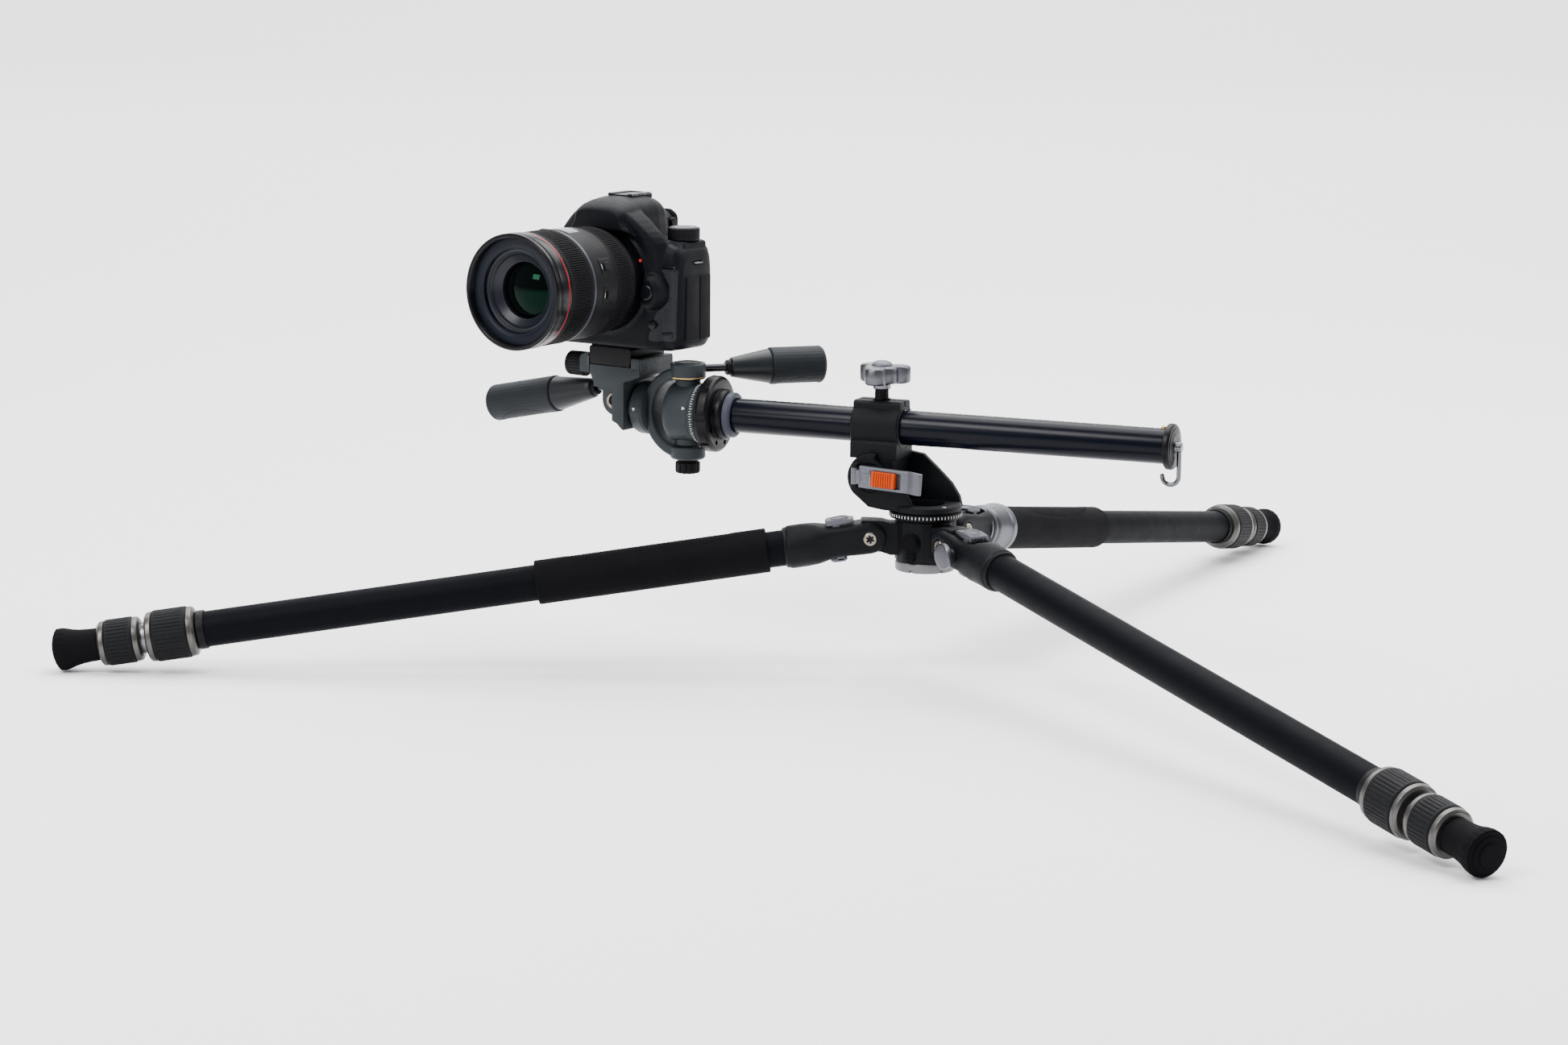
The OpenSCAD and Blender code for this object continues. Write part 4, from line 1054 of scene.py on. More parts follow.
def column():
    low, high = HEAD_PLATE[1] + 0.1, COLUMN_END - 6
    on_column("column_tube_lacquered", lathe([(low, COLUMN_R), (high, COLUMN_R), (high, COLUMN_R - 1.6),
            (low, COLUMN_R - 1.6)], "X", 128, 0.15, True), "leg_tube", COLUMN_BLACK, ("column_tube",))
    marks = []
    margin_low, margin_high, spacing = 34, 6, 5.5
    for k in range(int((high - margin_high - low - margin_low) / spacing) + 1):
        half_turn = 8.4 if k % 2 == 0 else 4.8
        x = low + margin_low + k * spacing
        marks.append(arc_mark(x, 0.22, COLUMN_R + 0.03, 90 - half_turn, 90 + half_turn))
    on_column("column_scale", merged(*marks), "leg_tube", WHITE_PAINT)


def arc_mark(x, half, radius, start, end):
    """A thin painted mark round a tube, between two angles measured from Y towards Z."""
    steps, thick = 6, 0.12
    corners = ((-half, radius - thick), (half, radius - thick), (half, radius), (-half, radius))
    turns = [math.radians(start + (end - start) * k / steps) for k in range(steps + 1)]
    return loft([[(x + dx, *polar(r, t)) for dx, r in corners] for t in turns])


def column_end_cap():
    end = COLUMN_END
    on_column("column_end_cap", lathe([(end - 14, 4.3), (end - 14, 10.8), (end - 6.0, 10.8),
            (end - 5.9, 15.6), (end - 5.2, 16.3, 0.5), (end - 2.2, 16.3, 0.8), (end - 0.9, 15.3),
            (end - 0.9, 13.4), (end - 0.5, 13.0), (end - 0.2, 9.2), (end, 8.8), (end, 4.3)], "X", 128, 0.3,
            True), "knob_plastic", GLOSS_BLACK, ("end_cap",))
    tip = lathe([(13.2, 0), (13.2, 1.9), (15.0, 1.9, 0.4), (15.6, 1.2), (15.6, 0)], "Z", 32, 0.2)
    moved(tip, shift(end - 9.2, 0, -1.2))
    on_column("column_stop_screw", tip, "nickel_screw", BRASS)


def bag_hook():
    """Bright wire hook: a straight drop, then a half turn."""
    end = COLUMN_END
    stem = lathe([(end - 12, 0), (end - 12, 4.1), (end + 0.2, 4.1), (end + 0.6, 3.7),
            (end + 4.3, 3.6, 0.5), (end + 4.5, 0)], "X", 48, 0.2)
    radius, wire_r, drop = 6.0, 1.65, 21.0
    points = [(end + 2.4, 0, z) for z in (-1, -8, -16)]
    points += [(end + 2.4 - radius + radius * math.cos(t), 0, -drop - radius * math.sin(t))
            for t in (math.pi * k / 16 for k in range(17))]
    make("bag_hook_wire", merged(stem, wire(points, wire_r, 24), ball(points[-1], wire_r)), COLUMN,
            "bag_hook", POLISHED, ("bag_hook",))


def ball(at, radius):
    rows = 12
    bm = lathe([polar(radius, math.pi * k / rows) for k in range(rows + 1)], "Z", 2 * rows, 0)
    return moved(bm, Matrix.Translation(at))


def head_plate():
    near, far = HEAD_PLATE
    plate = to_object("head_plate_disc", lathe([(near, 0), (near, 26.4), (near + 1.0, 27.6, 0.5),
            (near + 2.6, 28.0, 0.4), (far - 2.6, 28.0, 0.4), (far - 1.0, 27.2, 0.5), (far, 25.4),
            (far, 18.6), (far + 0.6, 18.5, 0.5), (far + 4.6, 18.5, 0.6), (far + 6, 17.2),
            (far + 6, COLUMN_R + 0.1), (far + 0.1, COLUMN_R + 0.1), (far + 0.1, 0)], "X", 192, 0.3), COLUMN)
    notches = [moved(block((near - 1, -2, 26.7), (far - 2, 2, 30), 0.3), spin(45 * k, "X"))
            for k in range(8)]
    sockets = []
    for k in (-1, 0, 1):
        hole = plug(far - 3, far + 1, 2.0, "X", 24)
        sockets.append(moved(hole, spin(-115 + 40 * k, "X") @ shift(0, 22, 0)))
    cut(plate, COLUMN, merged(*notches), merged(*sockets))
    piece(plate, "column", GLOSS_BLACK, ("head_plate",), 30)
    on_column("head_plate_ring", lathe([(far + 6.1, COLUMN_R + 0.1), (far + 6.1, 15.6),
            (far + 6.8, 16.5, 0.4), (far + 10.6, 16.5, 0.5), (far + 12, 15.0), (far + 12, COLUMN_R + 0.1)],
            "X", 128, 0.4, True), "knob_plastic", GREY_RING)


# --- Pan head

PAN = COLUMN @ shift(-HEAD_REACH, 0, 0)


def pan_housing():
    body = lathe([(-14, 0), (-14, 16.0), (-13, 18.0), (-10.6, 21.2, 1.2), (-8, 21.7), (7.6, 21.7),
            (8.0, 21.3), (8.4, 21.3), (8.8, 21.7), (14.6, 21.7), (15.4, 21.2), (16.25, 21.2), (16.25, 0)],
            "X", 160, 0.3)
    housing = to_object("pan_housing_casting", body, PAN)
    pads = plug(-24.2, 24.2, 9.3, "Z", 96, 0.3)
    join(housing, PAN, pads)
    cut(housing, PAN, rod((0, 0, -40), (0, 0, 40), 4.3, 48))
    piece(housing, "pan_housing", CHARCOAL, ("pan_housing",), 30)
    make("pan_housing_lip", hoop(13.0, 14.3, 21.5, 21.95, "X", 160, 0.15), PAN, "pan_housing",
            CHARCOAL_DARK)
    ticks = [moved(block((10.2, -0.2, 21.5), (12.2 if k % 2 else 11.5, 0.2, 21.82), 0.04),
            spin(5 * k, "X")) for k in range(72)]
    arrow = moved(prism([(6.9, 0), (4.4, 1.3), (4.4, -1.3)], 21.6, 21.83, "Z", 0, 0), spin(75, "X"))
    make("pan_scale", merged(arrow, *ticks), PAN, "pan_housing", WHITE_PAINT)


def yoke():
    """C-shaped yoke with bosses over and under the housing and a round face for the bracket."""
    sections = []
    for k in range(33):
        t = math.radians(90 + 180 * k / 32)
        inner, outer, half = 24.9, 34.0, 11.0
        ring = []
        for u, v in squircle(half, (outer - inner) / 2, 5, 40):
            r = (inner + outer) / 2 + v
            ring.append((r * math.cos(t), u, r * math.sin(t)))
        sections.append(ring)
    body = to_object("tilt_yoke_casting", loft(sections), HEAD)
    top = lathe([(24.8, 0), (24.8, 12.2), (25.5, 13.0), (35.4, 13.0, 0.6), (36.5, 12.2), (36.5, 0)], "Z",
            96, 0.4)
    bottom = lathe([(-34.5, 0), (-34.5, 11.8), (-33.2, 13.0, 0.8), (-26, 13.0), (-25.2, 12.3), (-24.8, 0)],
            "Z", 96, 0.4)
    face = lathe([(-40, 0), (-40, 18.6), (-39, 19.5), (-31.5, 19.5), (-29.4, 18.4), (-28, 15), (-28, 0)],
            "X", 128, 0.5)
    join(body, HEAD, top, bottom, face)
    spindle_hole = plug(-41, -31, 5.3, "X", 48)
    cut(body, HEAD, spindle_hole)
    hole = rod((5, 0, 0), (20, 0, 0), 3.05, 32)
    cut(body, TILT_HANDLE, hole)
    piece(body, "yoke", CHARCOAL, ("tilt_yoke",), 30)
    on_yoke("yoke_spindle", plug(-34.4, 36.4, 3.95, "Z", 48), "charcoal_head", NICKEL)
    on_yoke("yoke_cap", lathe([(36.45, 0), (36.45, 10.2), (37.0, 9.8), (37.1, 7.0), (36.8, 6.6),
            (36.8, 0)], "Z", 72, 0.2), "charcoal_head", CHARCOAL_DARK)
    on_yoke("yoke_brass_band", hoop(25.6, 26.5, 12.9, 13.25, "Z", 96, 0.1), "charcoal_head", BRASS)
    arrow = prism([(0, -16.6), (1.3, -14.2), (-1.3, -14.2)], -0.2, 0.1, "Y", 0, 0)
    moved(arrow, shift(-35.5, -19.45, 16))
    on_yoke("yoke_mark", arrow, "charcoal_head", WHITE_PAINT)


def friction_knob():
    flutes = fluted(0.9, 12, end=-37.2)
    make("friction_knob_fluted", lathe([(-34.8, 0), (-34.8, 7.5), (-36.3, 7.5), (-36.9, 8.6), (-37.4, 9.2),
            (-44.0, 9.2), (-45.0, 8.4), (-45.3, 7.4), (-45.3, 5.2), (-44.9, 5.0), (-44.9, 0)], "Z", 240,
            0.4, wave=flutes, step=1.0), HEAD, "friction_knob", KNOB_BLACK,
            ("friction_knob",), 45)


TILT_HANDLE = HEAD @ shift(0, 0, 31.8) @ spin(41 + 11.65, "Z")
SIDE_HANDLE = HEAD @ shift(-66, -4, 14.5) @ spin(-192, "Y")


def pan_handle(name, place, body, node, rod_from, cone, grip, patch_turn):
    """A handle: thin rod, a long cone, and a finely ribbed grip with an oval ribbed patch."""
    radius, share, pitch = 13.75, 0.36, 1.9
    start, end = grip

    def ribs(a, t):
        across = turn_from(patch_turn, t)
        along = (a - (start + end) / 2) / (share * (end - start))
        if along ** 2 + across ** 2 < 1:
            return -0.28 - 0.32 * max(0, math.cos(a * 2 * math.pi / pitch)) ** 2
        if along ** 2 + across ** 2 < 1.12:
            return -0.5
        if a > start + 2 and a < end - 3:
            return -0.10 * max(0, math.cos(t * 30)) ** 2
        return 0

    make(name + "_cone", lathe([(cone, 0), (cone, 6.2), (cone + 0.9, 7.2, 0.6), (cone + 4.0, 7.9),
            (start - 1.2, 12.7, 0.5), (start - 0.1, 12.4), (start - 0.1, 0)], "X", 96, 0.5), place, body,
            CONE_SATIN)
    make(name + "_grip", lathe([(start, 0), (start, 12.9), (start + 0.9, radius, 0.6),
            (end - 2.6, radius, 1.0), (end - 0.9, 12.4, 1.0), (end, 10.6, 0.6), (end - 0.4, 9.8),
            (end - 0.4, 0)], "X", 200, 0.6, wave=ribs, step=0.55), place, body, HANDLE_GREY,
            (node,), 60)
    make(name + "_rod", rod((rod_from, 0, 0), (cone + 2, 0, 0), 2.95, 40), place, body,
            ROD_DARK)
    make(name + "_ferrule", lathe([(cone - 3.2, 2.9), (cone - 3.2, 5.1), (cone - 2.5, 5.6),
            (cone + 0.2, 5.8), (cone + 0.2, 2.9)], "X", 48, 0.3, True), place, body,
            KNOB_BLACK)


def side_bearing():
    on_yoke("side_bearing_ring", lathe([(-43, 5.4), (-43, 16.8), (-42.3, 18.0), (-40.7, 18.0),
            (-40.05, 17.2), (-40.05, 5.4)], "X", 128, 0.3, True), "knob_plastic", GLOSS_BLACK,
            ("side_bearing",))


def bracket():
    """The S-shaped side-tilt bracket from the round bearing up to the plate clamp."""
    outline = [(-43.4, -16, 1.5), (-43.4, 20, 1), (-31, 24.4, 2), (-29, 25.4, 1), (-29, 31.4, 0.8),
            (-74.8, 31.4, 0.5), (-74.8, 25.2, 1.5), (-71.2, 18, 4), (-71, 8, 4)]
    outline += arc_points(-60, 4, 11, 180, 270, 10)
    outline += [(-50, -11, 3), (-46, -14.5, 2)]
    body = to_object("tilt_bracket_casting", prism(outline, -21, 21, "Y", 0.8, 1.2, 4), HEAD)
    wings = [block((-90, side[0], -40), (-54.2, side[1], 15), 0) for side in ((-40, -10), (10, 40))]
    guide = block((-90, -4.5, 25.2), (-43, 4.5, 28.8), 0)
    hole = rod((0, 0, 0), (40, 0, 0), 3.06, 32)
    cut(body, HEAD, *wings, guide)
    cut(body, SIDE_HANDLE, hole)
    fixed_jaw = prism([(-37, 30.5), (-29, 30.5), (-29, 37.6), (-29.8, 38.5), (-36, 38.5), (-37, 37.5)],
            -21, 21, "Y", 0, 0.5)
    join(body, HEAD, fixed_jaw)
    round_edges(body, 0.8, 2, 50)
    piece(body, "bracket", CHARCOAL, ("tilt_bracket",), 32)
    ring = lathe([(9.8, 3.7), (9.8, 6.3), (10.9, 6.1, 0.3), (11.2, 5.2, 0.4), (10.9, 4.1, 0.3),
            (9.9, 3.7)], "Y", 64, 0.1, True)
    # A flush black disc inside the socket ring is painted shade. It stands in for the dark inside of the
    # socket's hole.
    hole_shade = plug(9.9, 10.2, 3.6, "Y", 48, 0.1)
    face = shift(-60.5, 0, 4) @ Matrix.Scale(-1, 4, (0, 1, 0))
    make("socket_ring", moved(ring, face), HEAD, "bracket", NICKEL)
    make("socket_hole_painted_shade", moved(hole_shade, face), HEAD, "bracket", GLOSS_BLACK)
    make("bracket_axle", rod((-47, 0, 0), (-31, 0, 0), 4.95, 48), HEAD, "bracket", NICKEL)


def plate_clamp():
    jaw = prism([(-84, 25.0, 1), (-84, 35.8, 2.5), (-81.8, 38.5, 1), (-76.4, 38.5, 0.6),
            (-75.3, 37.2, 0.4), (-75.3, 25.0, 0.6)], -21, 21, "Y", 0.6, 0.8)
    body = to_object("plate_jaw_casting", jaw, HEAD)
    tongue = block((-76, -4.2, 25.5), (-47, 4.2, 28.5), 0.3)
    join(body, HEAD, tongue)
    cut(body, HEAD, rod((-90, -8, 28.9), (-64, -8, 28.9), 2.3, 32))
    piece(body, "plate_jaw", CHARCOAL, ("plate_jaw",), 32)
    place = HEAD @ shift(-84, -8, 28.9)
    knurl = fluted(0.45, 24, 1.3, -17.2, -3.2)
    make("plate_knob_knurled", lathe([(-18, 0), (-18, 7.6), (-17.2, 9.0, 0.5), (-3.2, 9.2), (-2.5, 8.6),
            (-2.4, 0)], "X", 288, 0.4, wave=knurl, step=1.6), place, "plate_knob",
            KNOB_BLACK, ("plate_knob",), 50)
    make("plate_knob_cap", lathe([(-18.3, 0), (-18.3, 5.0), (-17.9, 5.6), (-17.9, 0)], "X", 64, 0.2),
            place, "plate_knob", GUNMETAL)
    make("plate_knob_screw", merged(rod((-8, 0, 0), (26, 0, 0), 1.95, 32), hoop(-2.5, -0.35, 1.9, 6.0, "X",
            64, 0.3)), place, "plate_knob", GUNMETAL)


def quick_plate():
    top, low, half = 46.8, 38.5, 21.0
    make("quick_plate_body", prism([(-75, low, 0.4), (-75, top - 2.6, 1), (-73.6, top - 1.2, 0.8),
            (-38.4, top - 1.2, 0.8), (-37, top - 2.6, 1), (-37, low, 0.4), (-38.2, 31.8, 0.5),
            (-73.8, 31.8, 0.5)], -half, half, "Y", 0.5, 0.8), HEAD, "camera", GLOSS_BLACK,
            ("quick_plate",))
    pad = to_object("quick_plate_pad", block((-73.8, -20, top - 1.3), (-38.2, 20, top), 0.5), HEAD)
    lines = merged(*[block((-75, y - 0.35, top - 0.5), (-37, y + 0.35, top + 1), 0)
            for y in (k * 2.2 - 17.6 for k in range(17))])
    cut(pad, HEAD, lines)
    piece(pad, "camera", GRIP_RUBBER)


def tripod():
    for leg_name in LEGS:
        leg(leg_name)
    make("rear_leg_coupling", rear_coupling(), LEG["rear"], "leg_rear", SILVER)
    leg_pins()
    leg_knob()
    spider()
    spider_plug()
    base_ring()
    dial()
    column_base()
    lever_ears()
    tilt_bolt()
    clamp_lever()
    lever_button()
    collar()
    collar_knob()
    column()
    column_end_cap()
    bag_hook()
    head_plate()
    pan_housing()
    yoke()
    friction_knob()
    pan_handle("tilt_handle", TILT_HANDLE, "tilt_handle", "tilt_handle", 7, 32, (62, 104),
            math.radians(-90))
    pan_handle("side_handle", SIDE_HANDLE, "side_handle", "side_handle", 1, 17, (52, 114), math.radians(90))
    side_bearing()
    bracket()
    plate_clamp()
    quick_plate()


# --- Camera body. The local frame is the lens's: X right, Y back, Z up, zero on the lens axis.

BASE_Z = -50.5
MOUNT_Y = -34.3


def shell_sections():
    """Slices across the body from the grip's end to the terminal doors: x, front, back, low, top, power."""
    slices = [(-88.0, -8, 10, -40, 12, 3.0), (-87.0, -15, 16, -46, 17, 4.0),
            (-84.5, -20, 20, -49.4, 20, 6.0), (-81.0, -23, 22, -50.4, 22, 8.0),
            (-74.0, -24.6, 23, -50.5, 23.6, 9.0), (-50.0, -25, 23, -50.5, 24.6, 9.0),
            (-36.0, -25, 23, -50.5, 26.0, 9.0), (0.0, -25, 23, -50.5, 28, 9.0),
            (34.0, -25, 23, -50.5, 28, 9.0), (50.0, -25, 22.6, -50.5, 27.4, 8.0),
            (55.5, -24, 21.5, -50.2, 25.2, 7.0), (58.6, -21.5, 19, -48.6, 22, 5.5),
            (60.3, -18, 16, -45.5, 17.5, 4.5), (61.0, -12, 10, -38, 8, 3.0)]
    out = []
    for x, front, back, low, top, power in slices:
        middle_y, middle_z = (front + back) / 2, (low + top) / 2
        out.append([(x, middle_y + u, middle_z + v) for u, v in squircle((back - front) / 2,
                (top - low) / 2, power, 72)])
    return out


def grip_sections():
    rows = [(-50.4, 8.5, 7), (-49.6, 10.5, 9), (-46, 12.2, 11.2), (-30, 13.0, 13.2), (-10, 13.4, 14.4),
            (6, 13.2, 14.6), (14, 12.8, 14.2), (18.6, 11.8, 12.8), (20.9, 10.0, 10.6), (21.6, 7.5, 8)]
    out = []
    for z, half_x, half_y in rows:
        out.append([(-73.5 + u, -27.4 + v, z - 0.16 * v - 0.02 * abs(v))
                for u, v in squircle(half_x, half_y, 2.6, 64)])
    return out


def hump_outline():
    """Half widths and heights of the hump's arch, both from 0 to 1, flared at the foot."""
    shoulder, power, flare = 0.50, 2.9, 0.24
    out = []
    for k in range(12):
        v = shoulder * k / 12
        out.append((1 + flare * (1 - v / shoulder) ** 1.4, v))
    for k in range(17):
        t = math.pi / 2 * k / 16
        out.append((math.cos(t) ** (2 / power), shoulder + (1 - shoulder) * math.sin(t) ** (2 / power)))
    return out


def hump_sections():
    """The viewfinder hump from its brow over the lens back to the eyepiece: y, half width, top, foot."""
    slices = [(-41.2, 19.6, 50.2, 36.8), (-40.6, 20.6, 51.2, 36.2), (-38.6, 21.8, 53.0, 35.6),
            (-36.0, 22.9, 54.6, 34.0), (-32.0, 24.2, 56.4, 30.0), (-27.0, 25.4, 57.8, 22.0),
            (-16.0, 26.4, 59.0, 20.0), (0.0, 26.0, 59.2, 20.0), (9.0, 24.8, 57.6, 20.0),
            (15.0, 22.8, 53.6, 20.0), (19.0, 20.5, 48.0, 20.0), (21.0, 19.0, 43.0, 20.0)]
    arch = hump_outline()
    out = []
    for y, half, top, foot in slices:
        right = [(u * half, y, foot + (top - foot) * v) for u, v in arch]
        left = [(-x, y, z) for x, y, z in right[-2::-1]]
        floor_points = [(-u * half, y, foot) for u in (0.9, 0.45, 0, -0.45, -0.9)]
        out.append(right + left + floor_points)
    return out


def prow_sections():
    """The raised front round the mount, drawn in and forward as it climbs to the hump."""
    rows = [(BASE_Z + 1.5, 0.99, -31.2), (BASE_Z + 3.5, 1.0, -31.6), (16.0, 1.0, -31.6),
            (20.0, 0.995, -31.7), (24.0, 0.98, -32.0), (28.0, 0.95, -32.6), (32.0, 0.895, -33.5),
            (36.0, 0.825, -34.6), (40.0, 0.74, -35.8), (44.0, 0.65, -36.8), (47.5, 0.56, -37.5),
            (51.0, 0.46, -38.0)]
    out = []
    for z, width, front in rows:
        outline = rounded([(-52, -20, 0.5), (-52, -22, 0.5), (-45, front + 2.1, 5), (-38, front, 6),
                (38, front, 6), (44.5, front + 2.1, 5), (51, -22, 0.5), (51, -20, 0.5)], 1, 4, loop=True)
        out.append([(x * width, y, z) for x, y in outline])
    return out


def shell_solids():
    surround = lathe([(-36, 0), (-34.6, 36.5), (-33.6, 39.4, 1.5), (-29, 41.0), (-20, 42), (-20, 0)], "Y",
            96, 0.5)
    release = lathe([(-37.4, 0), (-37.0, 8.4, 1.5), (-34.5, 10.6, 2), (-28, 12.4, 2), (-20, 14.5),
            (-20, 0)], "Y", 64, 0.5)
    eye_block = prism([(-19.5, 22, 3), (-19.5, 41, 5), (-14, 46.2, 5), (14, 46.2, 5), (19.5, 41, 5),
            (19.5, 22, 3)], 8, 27.5, "Y", 2, 1.5)
    shelf = prism([(36, 24, 3), (36, 29.6, 2), (56, 28.2, 2), (58, 24, 2)], -12, 16, "Y", 1, 1.5)
    deck = prism([(-84, 18, 2), (-83, 24.6, 2.5), (-30, 28.4, 2), (-30, 18, 2)], -19, 20, "Y", 1, 2.2)
    swell = ((1.0, -0.6), (1.0, 0.1), (0.9, 0.6), (0.72, 0.9), (0.45, 1.0))
    thumb = loft([[(-64 + u * s, 22 + 5.2 * t, 2 + v * s) for u, v in squircle(17, 17, 2.5, 48)]
            for s, t in swell])
    return [loft(shell_sections()), loft(grip_sections()), loft(hump_sections()), loft(prow_sections()),
            surround, moved(release, shift(41, 0, -7) @ Matrix.Diagonal((0.9, 1, 1.15, 1))), eye_block,
            shelf, deck, thumb]


def melted(name, solids, voxel, rounds):
    """Joins solids into one skin with soft blends between them."""
    obj = to_object(name, merged(*solids), LENS)
    remesh = obj.modifiers.new("skin", "REMESH")
    remesh.mode = "VOXEL"
    remesh.voxel_size = voxel * MM
    relax = obj.modifiers.new("relax", "SMOOTH")
    relax.factor = 0.5
    relax.iterations = rounds
    apply_modifiers(obj)
    return obj


def skin_patch(shell, name, region, proud):
    """A covering that stands proud of the shell inside a region."""
    patch = linked(name, shell.data.copy())
    swell = patch.modifiers.new("swell", "DISPLACE")
    swell.strength = proud * MM
    swell.mid_level = 0
    apply_modifiers(patch)
    cut(patch, LENS, region, operation="INTERSECT")
    piece(patch, "camera", LEATHER)


def camera_shell():
    shell = melted("camera_shell", shell_solids(), 0.85, 4)
    front = prism([(38.5, -43, 3), (57.5, -43, 3), (58.5, 9.5, 1.5), (47, 9.5, 1.5), (53.5, -2, 5),
            (53.5, -13, 5), (45, -22, 4)], -60, -6, "Y", 1, 0)
    grip = prism([(-100, -47, 2), (-50, -47, 4), (-46, -30, 6), (-46, 12, 3), (-60, 14, 3), (-100, 13, 2)],
            -60, -2, "Y", 1, 0)
    back = prism([(-100, -46, 2), (-84, -46, 3), (-80, -20, 5), (-46, -14, 4), (-46, 19, 3),
            (-100, 19, 2)], 4, 60, "Y", 1, 0)
    skin_patch(shell, "front_covering", front, 0.45)
    skin_patch(shell, "grip_covering", grip, 0.5)
    skin_patch(shell, "thumb_covering", back, 0.45)
    box = plug(-50, 11, 24.2, "Y", 96)
    chamber = block((-20, -14, -16), (20, 12.6, 20), 0)
    bowl = lathe([(-50, 34.2), (-50, 38.6), (-33.9, 38.6), (-32.8, 37.2), (-32.8, 34.2)], "Y", 128, 0, True)
    shutter_well = rod((-68, -31, 17), (-68, -31, 34), 4.6, 40)
    dial_slot = rod((-72.3, -16, 22), (-64.1, -16, 22), 9.1, 64)
    rear_well = rod((-58, 20.0, -14.5), (-58, 40, -14.5), 18.2, 96)
    release_well = rod((41, -50, -7), (41, -28, -7), 6.35, 64)
    lug_slot = block((57.5, -5.5, 11.5), (64, 5.5, 14.5), 0.8)
    cut(shell, LENS, box, chamber, bowl, shutter_well, dial_slot, rear_well, release_well, lug_slot)
    piece(shell, "camera", SHELL, ("camera_body",), 50)


def camera_trim():
    """Fixed small parts of the front, the sides and the base."""
    on_camera("lens_mount", lathe([(MOUNT_Y, 24.3), (MOUNT_Y, 33.4), (MOUNT_Y + 0.4, 33.8),
            (MOUNT_Y + 2.4, 33.8), (MOUNT_Y + 2.4, 24.3)], "Y", 128, 0.2, True), "satin_silver", POLISHED)
    on_camera("mount_index", moved(ball((0, 0, 0), 1.25), shift(33.6, -33.6, 15.4)), "orange_plastic",
            RED_PAINT)
    ridge = []
    for k in range(25):
        t = math.radians(52 - 112 * k / 24)
        ridge.append((39.8 * math.cos(t), -33.1 + 0.9 * math.sin(t) ** 2, 39.8 * math.sin(t)))
    on_camera("mount_ridge", wire(ridge, 0.55, 12), "camera_shell", SHELL_EDGE)
    on_camera("front_port_cover", prism([(46.0, -41.0, 0.6), (56.5, -41.0, 0.6), (56.5, -36.8, 0.6),
            (46.0, -36.8, 0.6)], -26.3, -25.2, "Y", 0.6, 0.25), "camera_shell", SHELL_EDGE)
    preview = lathe([(-33.4, 0), (-33.2, 2.3, 0.4), (-32.5, 2.9, 0.3), (-27, 3.0), (-27, 0)], "Y", 40, 0.3)
    on_camera("preview_button", moved(preview, shift(43, 0, -31)), "knob_plastic", SHELL_EDGE)
    on_camera("front_band", prism([(47.5, 10.0, 1), (58.3, 10.0, 1), (57.8, 12.0, 1), (47.5, 12.0, 1)],
            -26.1, -24, "Y", 0.6, 0.3), "camera_shell", SHELL_EDGE)
    on_camera("terminal_doors", merged(prism([(-15.5, -43.5, 1.5), (1.0, -43.5, 1.2), (1.0, 3.5, 1.2),
            (-14.5, 3.5, 2)], 59.4, 61.7, "X", 1, 0.6), prism([(1.8, -43.5, 1.2), (15.0, -43.5, 1.5),
            (15.0, 3.5, 1.5), (1.8, 3.5, 1.2)], 59.4, 61.7, "X", 1, 0.6)), "grip_rubber", DOOR_RUBBER)
    on_camera("strap_lugs", merged(wire([(58.6, -4.6, 13), (61.2, -4.2, 13), (61.6, 0, 13),
            (61.2, 4.2, 13), (58.6, 4.6, 13)], 0.75, 12), wire([(-86.4, -4.6, 13), (-88.8, -4.2, 13),
            (-89.2, 0, 13), (-88.8, 4.2, 13), (-86.4, 4.6, 13)], 0.75, 12)), "satin_silver", POLISHED)
    on_camera("card_door", prism([(-13, -36, 2), (14, -36, 2), (15, 10, 2), (-12, 10, 2)], -88.9, -86.4,
            "X", 1, 0.7), "camera_shell", SHELL)
    on_camera("base_cover", prism([(-78, -37, 6), (-54, -37, 6), (-47, -25, 4), (52, -22, 5), (52, 17, 5),
            (-78, 17, 6)], BASE_Z - 0.15, BASE_Z + 1.4, "Z", 3, 0.3), "camera_shell", SHELL)


def hot_shoe():
    on_camera("hot_shoe_seat", prism([(-10.9, -13.8, 1), (10.9, -13.8, 1), (10.9, 11.8, 1),
            (-10.9, 11.8, 1)], 56.4, 59.8, "Z", 1, 0.4), "camera_shell", SHELL)
    rails = [prism([(s * 6.6, 60.7), (s * 6.6, 60.2), (s * 9.2, 60.2), (s * 9.2, 58.9), (s * 10.9, 58.9),
            (s * 10.9, 60.7)], -13.6, 9.8, "Y", 0, 0.12) for s in (-1, 1)]
    plate = block((-9.1, -13.4, 59.5), (9.1, 9.8, 59.95), 0.1)
    stop = block((-9.6, 9.8, 58.6), (9.6, 11.4, 60.6), 0.3)
    on_camera("hot_shoe_rails", merged(*rails, plate, stop), "satin_silver", SHOE_METAL)
    spots = [(0, -2.0, 1.5), (-3.4, 4.2, 0.8), (3.4, 4.2, 0.8), (-3.4, 0.8, 0.8), (3.4, 0.8, 0.8)]
    pins = [rod((x, y, 59.8), (x, y, 60.12), r, 24, 0.05) for x, y, r in spots]
    on_camera("hot_shoe_contacts", merged(*pins), "satin_silver", POLISHED)


